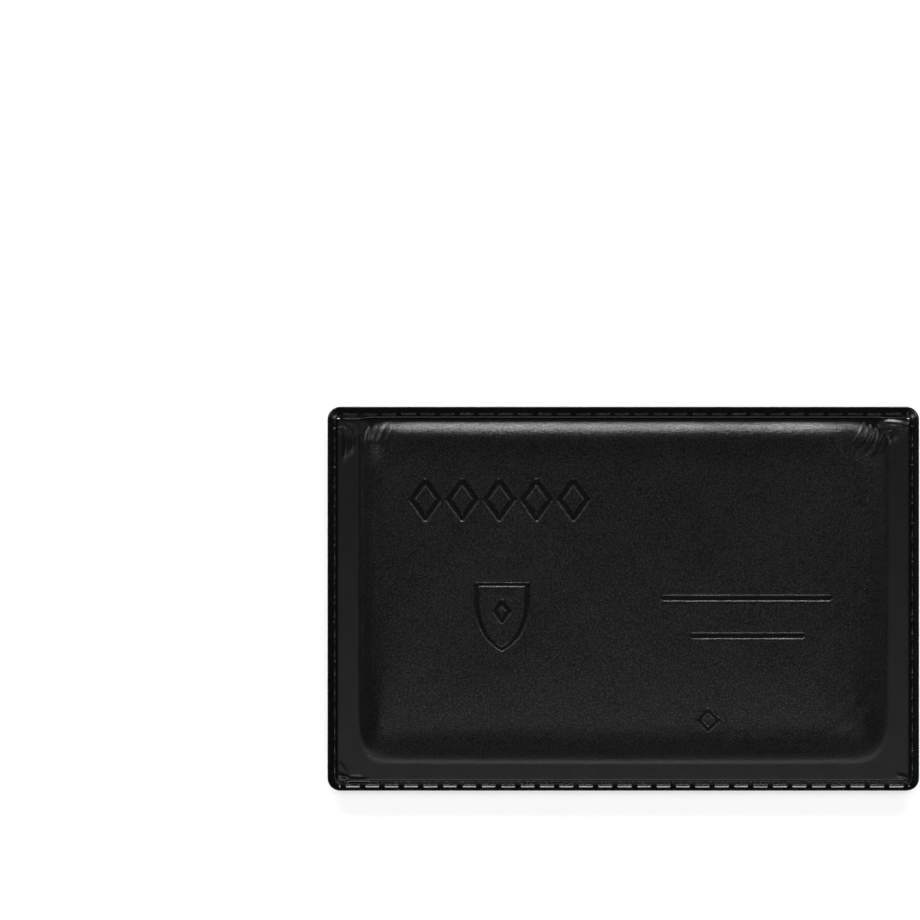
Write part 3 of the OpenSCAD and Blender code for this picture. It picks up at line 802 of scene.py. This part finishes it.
# %% A start for each material
def new_material(name):
    """An empty material, its node tree, and the place on the piece in millimetres."""
    made = bpy.data.materials.new(name)
    made.use_nodes = True
    made.node_tree.nodes.clear()
    place = add(made.node_tree, "ShaderNodeTexCoord").outputs["Object"]
    at = add(made.node_tree, "ShaderNodeVectorMath", {0: place, "Scale": 1 / MM}, operation="SCALE")
    return made, made.node_tree, at


# %% [markdown]
# ### Leather-look vinyl
# Soft PVC, calendered and embossed with a fine nappa grain: small pebbles about 0.4 mm across, parted
# by thin creases, with a slower unevenness over them. It is black and dielectric, so nearly all that
# shows is its gloss. The pebbles' tops carry it. Specular IOR Level is lowered in the creases as painted
# shade, because little light gets out of them, and lowered further on the floors of the pressed marks as
# painted shade of their walls. The press has ironed the bands, so they are smoother. On the padding the
# roughness stays above 0.28: below about 0.27 the denoiser no longer follows the relief, and the grain
# comes out in blotches.

# %% Leather-look vinyl
vinyl, tree, at = new_material("embossed_soft_pvc")
PEBBLE = 0.42
wander = add(tree, "ShaderNodeTexNoise", {"Vector": at, "Scale": 1.1, "Detail": 2.0}).outputs["Color"]
push = add(tree, "ShaderNodeVectorMath", {0: wander, 1: (0.5, 0.5, 0.5)}, operation="SUBTRACT")
warped = add(tree, "ShaderNodeVectorMath", {0: push, 1: (0.7, 0.7, 0.7), 2: at}, operation="MULTIPLY_ADD")
cells = add(tree, "ShaderNodeTexVoronoi", {"Vector": warped, "Scale": 1 / PEBBLE}, feature="DISTANCE_TO_EDGE")
pebbles = add(tree, "ShaderNodeMapRange", {0: cells, 1: 0.0, 2: 0.28, 4: 0.7},
              interpolation_type="SMOOTHSTEP")
pores = add(tree, "ShaderNodeTexNoise", {"Vector": at, "Scale": 4.2, "Detail": 3.0, "Roughness": 0.6})
slow = add(tree, "ShaderNodeTexNoise", {"Vector": at, "Scale": 0.45, "Detail": 3.0, "Roughness": 0.55})
left = add(tree, "ShaderNodeAttribute", attribute_name="grain_left").outputs["Fac"]
grain = add(tree, "ShaderNodeMath", {0: pores, 1: 1.6, 2: pebbles}, operation="MULTIPLY_ADD")
grain = add(tree, "ShaderNodeMath", {0: grain, 1: left}, operation="MULTIPLY")
flat = add(tree, "ShaderNodeMapRange", {0: left, 1: 0.2, 2: 0.9, 3: 0.2, 4: 1.0})
coarse = add(tree, "ShaderNodeBump", {"Height": slow, "Strength": flat, "Distance": 0.045 * MM})
relief = add(tree, "ShaderNodeBump", {"Height": grain, "Distance": 0.017 * MM, "Normal": coarse})
# Painted shade: Specular IOR Level follows the grain, lower in the creases, where little light gets out
top = add(tree, "ShaderNodeMath", {0: pores, 1: 1.2, 2: pebbles}, operation="MULTIPLY_ADD")
top = add(tree, "ShaderNodeMapRange", {0: top, 1: 0.4, 2: 1.45, 3: 0.1, 4: 0.5})
gloss = add(tree, "ShaderNodeMix", {"Factor": left, "A": 0.42, "B": top}, data_type="FLOAT")
pressed = add(tree, "ShaderNodeAttribute", attribute_name="pressed").outputs["Fac"]
# Painted shade: the floors of the pressed marks reflect less, standing in for the shade of their walls
mark_floor_shade = add(tree, "ShaderNodeMapRange", {0: pressed, 1: 0.7, 2: 0.98})
gloss = add(tree, "ShaderNodeMix", {"Factor": mark_floor_shade, "A": gloss, "B": 0.12}, data_type="FLOAT")
dull = add(tree, "ShaderNodeMapRange", {0: left, 1: 0.2, 2: 0.5, 3: 0.17, 4: 0.285})
dull = add(tree, "ShaderNodeMath", {0: slow, 1: 0.05, 2: dull}, operation="MULTIPLY_ADD")
tint = add(tree, "ShaderNodeMix", {
    "Factor": pores, "A": linear("#050506"), "B": linear("#0b0b0c")}, data_type="RGBA")
shader = add(tree, "ShaderNodeBsdfPrincipled", {
    "Base Color": tint, "Roughness": dull, "IOR": 1.5, "Specular IOR Level": gloss, "Normal": relief})
add(tree, "ShaderNodeOutputMaterial", {"Surface": shader})
skin.data.materials.append(vinyl)
print("Vinyl:", len(tree.nodes), "nodes")

# %% [markdown]
# ### Melted vinyl
# The same PVC after the hot tool: the grain is gone and the surface has a skin like candle wax, with
# a shallow ripple a few tenths of a millimetre long and fine scuffs that dull it here and there.

# %% Melted vinyl
melted, tree, at = new_material("melted_soft_pvc")
ripple = add(tree, "ShaderNodeTexNoise", {"Vector": at, "Scale": 2.6, "Detail": 3.0, "Roughness": 0.6})
scuff = add(tree, "ShaderNodeTexNoise", {"Vector": at, "Scale": 0.9, "Detail": 4.0, "Roughness": 0.7})
dull = add(tree, "ShaderNodeMapRange", {0: scuff, 1: 0.35, 2: 0.7, 3: 0.13, 4: 0.22})
relief = add(tree, "ShaderNodeBump", {"Height": ripple, "Distance": 0.008 * MM})
shader = add(tree, "ShaderNodeBsdfPrincipled", {
    "Base Color": linear("#050506"), "Roughness": dull, "IOR": 1.5, "Normal": relief})
add(tree, "ShaderNodeOutputMaterial", {"Surface": shader})
rim.data.materials.append(melted)
print("Melted vinyl:", len(tree.nodes), "nodes")

# %% [markdown]
# ### Open-cell foam
# Polyurethane foam, cut from a block. The cut opens bubbles about 0.3 mm across, so the surface is a
# net of thin pale walls over hollows, which are painted darker as shade. It is quite matt, and yellows
# a little in patches with age.

# %% Open-cell foam
foamed, tree, at = new_material("open_cell_polyurethane")
BUBBLE = 0.32
cells = add(tree, "ShaderNodeTexVoronoi", {"Vector": at, "Scale": 1 / BUBBLE}, feature="DISTANCE_TO_EDGE")
net = add(tree, "ShaderNodeMapRange", {0: cells, 1: 0.2, 2: 0.02}, interpolation_type="SMOOTHSTEP")
age = add(tree, "ShaderNodeTexNoise", {"Vector": at, "Scale": 0.12, "Detail": 3.0})
age = add(tree, "ShaderNodeMapRange", {0: age, 1: 0.4, 2: 0.7, 3: 0.0, 4: 0.35})
# Painted shade: the hollows between the cell walls are coloured darker than the walls
shade = add(tree, "ShaderNodeMix", {
    "Factor": net, "A": linear("#3b3c3f"), "B": linear("#8b8c90")}, data_type="RGBA")
shade = add(tree, "ShaderNodeMix", {"Factor": age, "A": shade, "B": linear("#8f8773")}, data_type="RGBA")
relief = add(tree, "ShaderNodeBump", {"Height": net, "Distance": 0.08 * MM})
shader = add(tree, "ShaderNodeBsdfPrincipled", {
    "Base Color": shade, "Roughness": 0.95, "Specular IOR Level": 0.2, "Normal": relief})
add(tree, "ShaderNodeOutputMaterial", {"Surface": shader})
foam.data.materials.append(foamed)
print("Open-cell foam:", len(tree.nodes), "nodes")

# %% [markdown]
# ### Clear window film
# Soft clear PVC, 0.2 mm thick, cast smooth. Such a thin film bends nothing that is seen through it, so
# it is a see-through shader with a mirror on it that follows Fresnel's law for its IOR of 1.53. It is
# never quite flat: long, slow waves bend the lamps' reflections, and rubbing leaves soft dull patches.
# A ray meets a face from behind when it leaves the film. Fresnel's law for that side would throw back
# all light from low lamps, which a real film lets out as it came in, so those faces mirror nothing.

# %% Clear window film
clear, tree, at = new_material("clear_soft_pvc")
waves = add(tree, "ShaderNodeTexNoise", {"Vector": at, "Scale": 0.09, "Detail": 2.0, "Roughness": 0.4})
relief = add(tree, "ShaderNodeBump", {"Height": waves, "Distance": 0.35 * MM})
stretched = add(tree, "ShaderNodeVectorMath", {0: at, 1: (0.35, 2.2, 1.0)}, operation="MULTIPLY")
rubbed = add(tree, "ShaderNodeTexNoise", {"Vector": stretched, "Scale": 0.8, "Detail": 5.0, "Roughness": 0.7})
rubbed = add(tree, "ShaderNodeMapRange", {0: rubbed, 1: 0.45, 2: 0.75, 3: 0.03, 4: 0.14})
through = add(tree, "ShaderNodeBsdfTransparent", {"Color": linear("#f3f6f5")})
shine = add(tree, "ShaderNodeBsdfAnisotropic", {
    "Color": linear("#ffffff"), "Roughness": rubbed, "Normal": relief})
facing = add(tree, "ShaderNodeFresnel", {"IOR": 1.53, "Normal": relief})
front = add(tree, "ShaderNodeMath", {
    0: 1.0, 1: add(tree, "ShaderNodeNewGeometry").outputs["Backfacing"]}, operation="SUBTRACT")
facing = add(tree, "ShaderNodeMath", {0: facing, 1: front}, operation="MULTIPLY")
both = add(tree, "ShaderNodeMixShader", {0: facing, 1: through, 2: shine})
add(tree, "ShaderNodeOutputMaterial", {"Surface": both})
print("Clear window film:", len(tree.nodes), "nodes")

# %% [markdown]
# ### Black lining sheet
# Thin PVC sheet, rolled with a fine linen-like pattern of two crossing ribs 0.3 mm apart, which lets a
# card slide instead of clinging. It scatters light softly and has no sharp reflections.

# %% Black lining sheet
lining, tree, at = new_material("black_rolled_pvc")
RIB = 0.3
rib_scale = 2 * math.pi / (20 * RIB)
ribs = [add(tree, "ShaderNodeTexWave", {"Vector": at, "Scale": rib_scale, "Distortion": 0.5, "Detail": 1.0},
            bands_direction=way) for way in ("X", "Y")]
linen = add(tree, "ShaderNodeMath", {0: ribs[0].outputs["Fac"], 1: ribs[1].outputs["Fac"]}, operation="ADD")
dust = add(tree, "ShaderNodeTexNoise", {"Vector": at, "Scale": 0.6, "Detail": 5.0, "Roughness": 0.7})
dull = add(tree, "ShaderNodeMapRange", {0: dust, 1: 0.35, 2: 0.7, 3: 0.38, 4: 0.52})
shade = add(tree, "ShaderNodeMix", {
    "Factor": dust, "A": linear("#0d0d0f"), "B": linear("#1d1d20")}, data_type="RGBA")
relief = add(tree, "ShaderNodeBump", {"Height": linen, "Distance": 0.018 * MM})
shader = add(tree, "ShaderNodeBsdfPrincipled", {
    "Base Color": shade, "Roughness": dull, "IOR": 1.5, "Normal": relief})
add(tree, "ShaderNodeOutputMaterial", {"Surface": shader})
print("Black lining sheet:", len(tree.nodes), "nodes")

# %% [markdown]
# ### Shielding foil
# Soft aluminium foil, rolled, so fine lines run along it. Handling has creased it: flat facets a few
# millimetres across meet in sharp, shallow ridges, and each mirrors the lamps a little differently.

# %% Shielding foil
foil, tree, at = new_material("rolled_aluminium_foil")
bends = add(tree, "ShaderNodeTexNoise", {"Vector": at, "Scale": 0.2, "Detail": 2.0}).outputs["Color"]
bent = add(tree, "ShaderNodeVectorMath", {0: bends, 1: (5.0, 5.0, 5.0), 2: at}, operation="MULTIPLY_ADD")
facets = add(tree, "ShaderNodeTexVoronoi", {"Vector": bent, "Scale": 1 / 5.5}, feature="F2")
ridges = add(tree, "ShaderNodeTexVoronoi", {"Vector": bent, "Scale": 1 / 5.5})
crease = add(tree, "ShaderNodeMath", {
    0: facets.outputs["Distance"], 1: ridges.outputs["Distance"]}, operation="SUBTRACT")
along = add(tree, "ShaderNodeVectorMath", {0: at, 1: (0.06, 7.0, 1.0)}, operation="MULTIPLY")
rolled = add(tree, "ShaderNodeTexNoise", {"Vector": along, "Scale": 1.0, "Detail": 4.0, "Roughness": 0.6})
relief = add(tree, "ShaderNodeBump", {"Height": rolled, "Distance": 0.006 * MM})
relief = add(tree, "ShaderNodeBump", {"Height": crease, "Distance": 0.5 * MM, "Normal": relief})
dull = add(tree, "ShaderNodeMapRange", {0: rolled, 1: 0.3, 2: 0.7, 3: 0.22, 4: 0.36})
shader = add(tree, "ShaderNodeBsdfPrincipled", {
    "Base Color": linear("#cfd1d3"), "Metallic": 1.0, "Roughness": dull, "Normal": relief})
add(tree, "ShaderNodeOutputMaterial", {"Surface": shader})
print("Shielding foil:", len(tree.nodes), "nodes")

# %% [markdown]
# ### Silver-printed card
# White PVC, printed with silver ink under a clear satin overlay. The ink's flakes are far finer than a
# pixel, so they are drawn 0.15 mm across, as coarse as they need to show. Broad soft diagonal bands
# run through the print. The face has two rows of plain squares from red to amber at one corner, and
# the back has hair-thin wavy lines. The overlay is laminated flat, and pockets have rubbed it a little.


# %% Silver-printed card
def silver_print(name):
    """A material with the card's silver ground: its tree, place, colour, roughness and relief."""
    made, tree, at = new_material(name)
    flake = add(tree, "ShaderNodeTexVoronoi", {"Vector": at, "Scale": 1 / 0.15}).outputs["Color"]
    cloud = add(tree, "ShaderNodeTexNoise", {"Vector": at, "Scale": 0.35, "Detail": 3.0})
    bands = add(tree, "ShaderNodeTexWave", {"Vector": at, "Scale": 0.0105, "Phase Offset": 1.3},
                bands_direction="DIAGONAL").outputs["Fac"]
    bands = add(tree, "ShaderNodeMapRange", {0: bands, 1: 0.25, 2: 0.8}, interpolation_type="SMOOTHSTEP")
    tone = add(tree, "ShaderNodeMix", {
        "Factor": bands, "A": linear("#9c9d9c"), "B": linear("#b9bab8")}, data_type="RGBA")
    spark = add(tree, "ShaderNodeMapRange", {0: flake, 1: 0.0, 2: 1.0, 3: 0.86, 4: 1.1})
    tone = add(tree, "ShaderNodeVectorMath", {0: tone, "Scale": spark}, operation="SCALE")
    dull = add(tree, "ShaderNodeMapRange", {0: cloud, 1: 0.35, 2: 0.7, 3: 0.3, 4: 0.42})
    relief = add(tree, "ShaderNodeBump", {"Height": cloud, "Distance": 0.02 * MM})
    return made, tree, at, tone, dull, relief


SQUARE, SQUARE_PITCH, SQUARES_MIDDLE = 3.2, 4.1, (-30.2, 18.4)
face, tree, at, tone, dull, relief = silver_print("silver_printed_pvc")
offset = add(tree, "ShaderNodeVectorMath", {0: at, 1: (*SQUARES_MIDDLE, 0)}, operation="SUBTRACT")
brick = add(tree, "ShaderNodeTexBrick", {
    "Vector": offset, "Scale": 1.0, "Mortar Size": (SQUARE_PITCH - SQUARE) / 2, "Mortar Smooth": 0.0,
    "Brick Width": SQUARE_PITCH, "Row Height": SQUARE_PITCH}, offset=0.0).outputs["Fac"]
beyond = add(tree, "ShaderNodeVectorMath", {0: offset}, operation="ABSOLUTE")
beyond = add(tree, "ShaderNodeVectorMath", {
    0: beyond, 1: (2 * SQUARE_PITCH, SQUARE_PITCH, 1e3)}, operation="SUBTRACT")
beyond = add(tree, "ShaderNodeSeparateXYZ", {0: beyond}).outputs
beyond = add(tree, "ShaderNodeMath", {0: beyond["X"], 1: beyond["Y"]}, operation="MAXIMUM")
within = add(tree, "ShaderNodeMath", {0: beyond, 1: 0.0}, operation="LESS_THAN")
inked = add(tree, "ShaderNodeMath", {0: 1.0, 1: brick}, operation="SUBTRACT")
inked = add(tree, "ShaderNodeMath", {0: inked, 1: within}, operation="MULTIPLY")
reach = add(tree, "ShaderNodeMapRange", {
    0: add(tree, "ShaderNodeSeparateXYZ", {0: offset}), 1: -8.0, 2: 8.0})
ink = add(tree, "ShaderNodeMix", {
    "Factor": reach, "A": linear("#b3201c"), "B": linear("#e39a2b")}, data_type="RGBA")
tone = add(tree, "ShaderNodeMix", {"Factor": inked, "A": tone, "B": ink}, data_type="RGBA")
metal = add(tree, "ShaderNodeMapRange", {0: inked, 3: 0.45, 4: 0.0})
shader = add(tree, "ShaderNodeBsdfPrincipled", {
    "Base Color": tone, "Metallic": metal, "Roughness": dull, "Normal": relief})
add(tree, "ShaderNodeOutputMaterial", {"Surface": shader})

back, tree, at, tone, dull, relief = silver_print("silver_printed_pvc_back")
lines = add(tree, "ShaderNodeTexWave", {"Vector": at, "Scale": 0.26, "Distortion": 5.0, "Detail": 0.0,
                                        "Detail Scale": 0.4}, bands_direction="Y").outputs["Fac"]
lines = add(tree, "ShaderNodeMapRange", {0: lines, 1: 0.86, 2: 1.0, 3: 0.0, 4: 0.4})
tone = add(tree, "ShaderNodeMix", {"Factor": lines, "A": tone, "B": linear("#7f8488")}, data_type="RGBA")
shader = add(tree, "ShaderNodeBsdfPrincipled", {
    "Base Color": tone, "Metallic": 0.45, "Roughness": dull, "Normal": relief})
add(tree, "ShaderNodeOutputMaterial", {"Surface": shader})
print("Silver-printed card:", len(tree.nodes), "nodes")

# %% [markdown]
# ### Contact plate
# Copper foil plated with nickel and a pale precious metal, so it is a silvery mirror with a fine grain.
# A reader's pins slide onto it in the card's length, and each time they leave short bright scratches.
# The grooves that part its contacts are etched through to the dark board, 0.06 mm deep.

# %% Contact plate
GROOVE_FLOOR = corners("chip_contacts")[0][2] + 0.06
plated, tree, at = new_material("plated_copper_contacts")
along = add(tree, "ShaderNodeVectorMath", {0: at, 1: (0.5, 9.0, 1.0)}, operation="MULTIPLY")
pins = add(tree, "ShaderNodeTexNoise", {"Vector": along, "Scale": 1.0, "Detail": 3.0, "Roughness": 0.6})
pins = add(tree, "ShaderNodeMapRange", {0: pins, 1: 0.62, 2: 0.72})
fine = add(tree, "ShaderNodeTexNoise", {"Vector": at, "Scale": 7.0, "Detail": 2.0})
shade = add(tree, "ShaderNodeMix", {
    "Factor": pins, "A": linear("#c4c2bb"), "B": linear("#dedcd6")}, data_type="RGBA")
dull = add(tree, "ShaderNodeMapRange", {0: fine, 1: 0.3, 2: 0.7, 3: 0.22, 4: 0.34})
relief = add(tree, "ShaderNodeBump", {"Height": pins, "Distance": 0.004 * MM})
deep = add(tree, "ShaderNodeSeparateXYZ", {0: at}).outputs["Z"]
plate = add(tree, "ShaderNodeMath", {0: deep, 1: GROOVE_FLOOR - 0.03}, operation="LESS_THAN")
shade = add(tree, "ShaderNodeMix", {"Factor": plate, "A": linear("#1d1c1a"), "B": shade}, data_type="RGBA")
shader = add(tree, "ShaderNodeBsdfPrincipled", {
    "Base Color": shade, "Metallic": plate, "Roughness": dull, "Normal": relief})
add(tree, "ShaderNodeOutputMaterial", {"Surface": shader})
print("Contact plate:", len(tree.nodes), "nodes")

# %% [markdown]
# ### Chip resin
# Black epoxy with mineral filler, poured over the chip and ground flat: matt, with fine circular
# grinding marks, and small pores where the filler was torn out, painted darker as shade in the pits.

# %% Chip resin
resin, tree, at = new_material("filled_black_epoxy")
grind = add(tree, "ShaderNodeTexWave", {"Vector": at, "Scale": 2.1, "Distortion": 1.5, "Detail": 2.0},
            wave_type="RINGS").outputs["Fac"]
torn = add(tree, "ShaderNodeTexVoronoi", {"Vector": at, "Scale": 1 / 0.35}).outputs["Distance"]
torn = add(tree, "ShaderNodeMapRange", {0: torn, 1: 0.05, 2: 0.16})
# Painted shade: the pores are coloured darker than the ground face, as shade in the pits
shade = add(tree, "ShaderNodeMix", {
    "Factor": torn, "A": linear("#0a0a0b"), "B": linear("#1c1c1e")}, data_type="RGBA")
relief = add(tree, "ShaderNodeBump", {"Height": grind, "Distance": 0.004 * MM})
relief = add(tree, "ShaderNodeBump", {"Height": torn, "Distance": 0.02 * MM, "Normal": relief})
shader = add(tree, "ShaderNodeBsdfPrincipled", {"Base Color": shade, "Roughness": 0.62, "Normal": relief})
add(tree, "ShaderNodeOutputMaterial", {"Surface": shader})
print("Chip resin:", len(tree.nodes), "nodes")

# %% [markdown]
# ### Aerial copper
# Etched copper foil: bright where it is clean, with brown oxide clouds and a fine grain from the etch.

# %% Aerial copper
copper, tree, at = new_material("etched_copper")
cloud = add(tree, "ShaderNodeTexNoise", {"Vector": at, "Scale": 0.5, "Detail": 5.0, "Roughness": 0.65})
oxide = add(tree, "ShaderNodeMapRange", {0: cloud, 1: 0.42, 2: 0.68})
etch = add(tree, "ShaderNodeTexNoise", {"Vector": at, "Scale": 9.0, "Detail": 2.0})
shade = add(tree, "ShaderNodeMix", {
    "Factor": oxide, "A": linear("#cf8158"), "B": linear("#8b4a31")}, data_type="RGBA")
dull = add(tree, "ShaderNodeMapRange", {0: oxide, 3: 0.26, 4: 0.46})
relief = add(tree, "ShaderNodeBump", {"Height": etch, "Distance": 0.008 * MM})
shader = add(tree, "ShaderNodeBsdfPrincipled", {
    "Base Color": shade, "Metallic": 1.0, "Roughness": dull, "Normal": relief})
add(tree, "ShaderNodeOutputMaterial", {"Surface": shader})
print("Aerial copper:", len(tree.nodes), "nodes")

# %% [markdown]
# ### Magnetic tape
# Iron oxide in a dark brown binder, coated and polished. It is smooth, and every swipe drags fine
# scratches along it, so its reflections are drawn out in the card's length.

# %% Magnetic tape
tape, tree, at = new_material("magnetic_oxide_tape")
along = add(tree, "ShaderNodeVectorMath", {0: at, 1: (0.05, 6.0, 1.0)}, operation="MULTIPLY")
swipes = add(tree, "ShaderNodeTexNoise", {"Vector": along, "Scale": 1.0, "Detail": 4.0, "Roughness": 0.65})
worn = add(tree, "ShaderNodeMapRange", {0: swipes, 1: 0.5, 2: 0.75})
shade = add(tree, "ShaderNodeMix", {
    "Factor": worn, "A": linear("#15100d"), "B": linear("#2c2420")}, data_type="RGBA")
dull = add(tree, "ShaderNodeMapRange", {0: worn, 3: 0.2, 4: 0.38})
relief = add(tree, "ShaderNodeBump", {"Height": swipes, "Distance": 0.01 * MM})
shader = add(tree, "ShaderNodeBsdfPrincipled", {"Base Color": shade, "Roughness": dull, "Normal": relief})
add(tree, "ShaderNodeOutputMaterial", {"Surface": shader})
print("Magnetic tape:", len(tree.nodes), "nodes")

# %% [markdown]
# ### Signature panel
# A matt, chalky coating that takes ink, printed with a fine slanting hatch, 0.7 mm from line to line,
# in pale grey-blue. It has picked up a little grey where fingers rub it.

# %% Signature panel
panel, tree, at = new_material("chalky_signature_coating")
HATCH = 0.7
hatch = add(tree, "ShaderNodeTexWave", {
    "Vector": at, "Scale": 2 * math.pi / (20 * HATCH * math.sqrt(2) / 2) / 2}, bands_direction="DIAGONAL")
hatch = add(tree, "ShaderNodeMapRange", {0: hatch.outputs["Fac"], 1: 0.72, 2: 0.92, 3: 0.0, 4: 0.7})
chalk = add(tree, "ShaderNodeTexNoise", {"Vector": at, "Scale": 5.0, "Detail": 4.0, "Roughness": 0.7})
grime = add(tree, "ShaderNodeTexNoise", {"Vector": at, "Scale": 0.16, "Detail": 4.0, "Roughness": 0.6})
grime = add(tree, "ShaderNodeMapRange", {0: grime, 1: 0.45, 2: 0.75, 3: 0.0, 4: 0.3})
shade = add(tree, "ShaderNodeMix", {
    "Factor": hatch, "A": linear("#e9e7e0"), "B": linear("#b9c3cb")}, data_type="RGBA")
shade = add(tree, "ShaderNodeMix", {"Factor": grime, "A": shade, "B": linear("#bdb9b0")}, data_type="RGBA")
dull = add(tree, "ShaderNodeMapRange", {0: chalk, 1: 0.3, 2: 0.7, 3: 0.72, 4: 0.88})
relief = add(tree, "ShaderNodeBump", {"Height": chalk, "Distance": 0.01 * MM})
shader = add(tree, "ShaderNodeBsdfPrincipled", {
    "Base Color": shade, "Roughness": dull, "Specular IOR Level": 0.3, "Normal": relief})
add(tree, "ShaderNodeOutputMaterial", {"Surface": shader})
print("Signature panel:", len(tree.nodes), "nodes")

# %% [markdown]
# ### Finishes for the CAD pieces that stay
# Flat sheets, the contact plate and the aerial have their true shape in the CAD model already, so they
# keep it, and each slot takes its finish.

# %% Finishes for the CAD pieces
for node, finish in (("window_film", clear), ("pocket_lining", lining), ("shield_foil", foil),
                     ("card_face", face), ("card_back", back), ("chip_contacts", plated),
                     ("chip_capsule", resin), ("aerial", copper), ("magnetic_stripe", tape),
                     ("signature_panel", panel)):
    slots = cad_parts[node].material_slots
    for slot in slots:
        slot.material = finish
    print(node, "has", len(slots), "slot of", finish.name)

# %% [markdown]
# ## The two rows of stitches
# Each row is made from a bare line of edges with no faces, which carries how high and how steep the
# bars are at each of its points. The tree does the rest, and its result is turned into a plain mesh.
# The row on the front is closed, and the one on the window's side is open at the mouth.

# %% Wrap the rows of stitches round the rim
STITCH_INSET, STITCH_Z = 0.68, 1.535
BACK_INSET, BACK_Z = 0.75, 0.17
STITCH_PITCH, STITCH_START, PATH_STEP = 3.0, 1.45, 0.5
# How much further in the row runs at the mouth and at the two ends
MOUTH_SHIFT, SIDE_SHIFT = 0.3, 0.2
# The outline's angles, in degrees, between which the window's side has no stitches
OPEN_FROM, OPEN_TO = 50, 130
# How far the bars sink and how steep they stay where the tool presses them flatter
MOUTH_DROP, MOUTH_STEEP = 0.005, 0.85
SIDE_RISE, SIDE_STEEP = 0.04, 0.9
CORNER_DROP, CORNER_STEEP = 0.025, 0.6


def at_mouth(angle):
    """1 along the mouth, where the hem is wider and thinner than the other welds, and 0 elsewhere."""
    return smooth((angle - 60) / 30) * smooth((120 - angle) / 30)


def at_side(angle):
    """1 along the two ends of the sleeve, and 0 along its long sides."""
    return smooth(1 - np.abs((angle + 90) % 180 - 90) / 30)


def at_corner(angle):
    """1 in the middle of each corner, and 0 along the straight sides."""
    return np.sin(np.radians(2 * angle)) ** 2


def pressed_bars(angle):
    """How much higher the bars stand along the path, and how steep they are, for each angle."""
    high = SIDE_RISE * at_side(angle) - MOUTH_DROP * at_mouth(angle) - CORNER_DROP * at_corner(angle)
    steep = (1 - (1 - MOUTH_STEEP) * at_mouth(angle) - (1 - SIDE_STEEP) * at_side(angle)
             - (1 - CORNER_STEEP) * at_corner(angle))
    return high * MM, steep


def stitch_row(name, inset, z, up, seed):
    """The stitches along one path round the rim, as a plain mesh."""
    places, inward, angles = rounded_outline(inset, PATH_STEP)
    high, steep = pressed_bars(angles)
    if up[2] > 0:
        places = places + inward * (MOUTH_SHIFT * at_mouth(angles) + SIDE_SHIFT * at_side(angles))[:, None]
        places = np.vstack([places, places[:1]])
        high, steep = np.append(high, high[0]), np.append(steep, steep[0])
    else:
        mouth = np.flatnonzero((angles > OPEN_FROM) & (angles < OPEN_TO))
        places = np.roll(places, -mouth[-1] - 1, axis=0)[:len(places) - len(mouth)][::-1]
        high, steep = np.zeros(len(places)), np.ones(len(places))
    carrier = bpy.data.meshes.new(name + "_path")
    carrier.from_pydata([(x * MM, y * MM, z * MM) for x, y in places],
                        [(k, k + 1) for k in range(len(places) - 1)], [])
    carrier.attributes.new("press", "FLOAT_VECTOR", "POINT").data.foreach_set(
        "vector", np.column_stack([high, steep, 0 * high]).ravel())
    path = bpy.data.objects.new(name + "_path", carrier)
    bpy.context.scene.collection.objects.link(path)
    around = np.linalg.norm(np.diff(places, axis=0), axis=1).sum()
    total = round(around / STITCH_PITCH)
    maker = path.modifiers.new("stitches", "NODES")
    maker.node_group = row
    sizes = {"Bar": bar, "Count": total, "Pitch": around / total * MM, "Start": STITCH_START * MM,
             "Up": up, "Seed": seed, "Material": melted}
    # A modifier's input is set by its identifier, which the tree's interface tells
    for item in row.interface.items_tree:
        if item.item_type == "SOCKET" and item.in_out == "INPUT" and item.name in sizes:
            maker[item.identifier] = sizes[item.name]
    bpy.context.view_layer.update()
    mesh = bpy.data.meshes.new_from_object(path.evaluated_get(bpy.context.evaluated_depsgraph_get()))
    bpy.data.objects.remove(path)
    made = bpy.data.objects.new(name, mesh)
    made.data.name = name
    bpy.context.scene.collection.objects.link(made)
    print(name, ":", total, "stitches", round(around / total, 3), "mm apart,", len(mesh.polygons), "faces")
    return made


front_stitches = stitch_row("rim_stitches", STITCH_INSET, STITCH_Z, (0, 0, 1), 4)
back_stitches = stitch_row("back_stitches", BACK_INSET, BACK_Z, (0, 0, -1), 9)
bpy.data.objects.remove(bar)

# %% [markdown]
# ## What rides on what
# The new pieces stand for the soft and melted CAD nodes and ride on the sleeve. The other CAD nodes
# have their true shape already: they keep it and only get a finish.

# %% Bodies
for piece, slot, stands_for in (
        (skin, "leather_look_skin", ["front_cover"]), (foam, "foam", ["foam_pad"]),
        (rim, "weld", ["closed_weld", "left_weld", "right_weld", "mouth_hem"]),
        (front_stitches, "weld", []), (back_stitches, "weld", [])):
    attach(piece, "sleeve")
    print(piece.name, "takes the slot", slot, "and stands for", stands_for or "no node")
    if stands_for:
        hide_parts(*stands_for)

# %% [markdown]
# ## The size of what is shown
# The looks are meant to keep the part's size. The box of all that is shown is printed, in millimetres.

# %% Print the size
low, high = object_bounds()
print("Visual box in mm:", [round((b - a) * 1000, 2) for a, b in zip(low, high)])
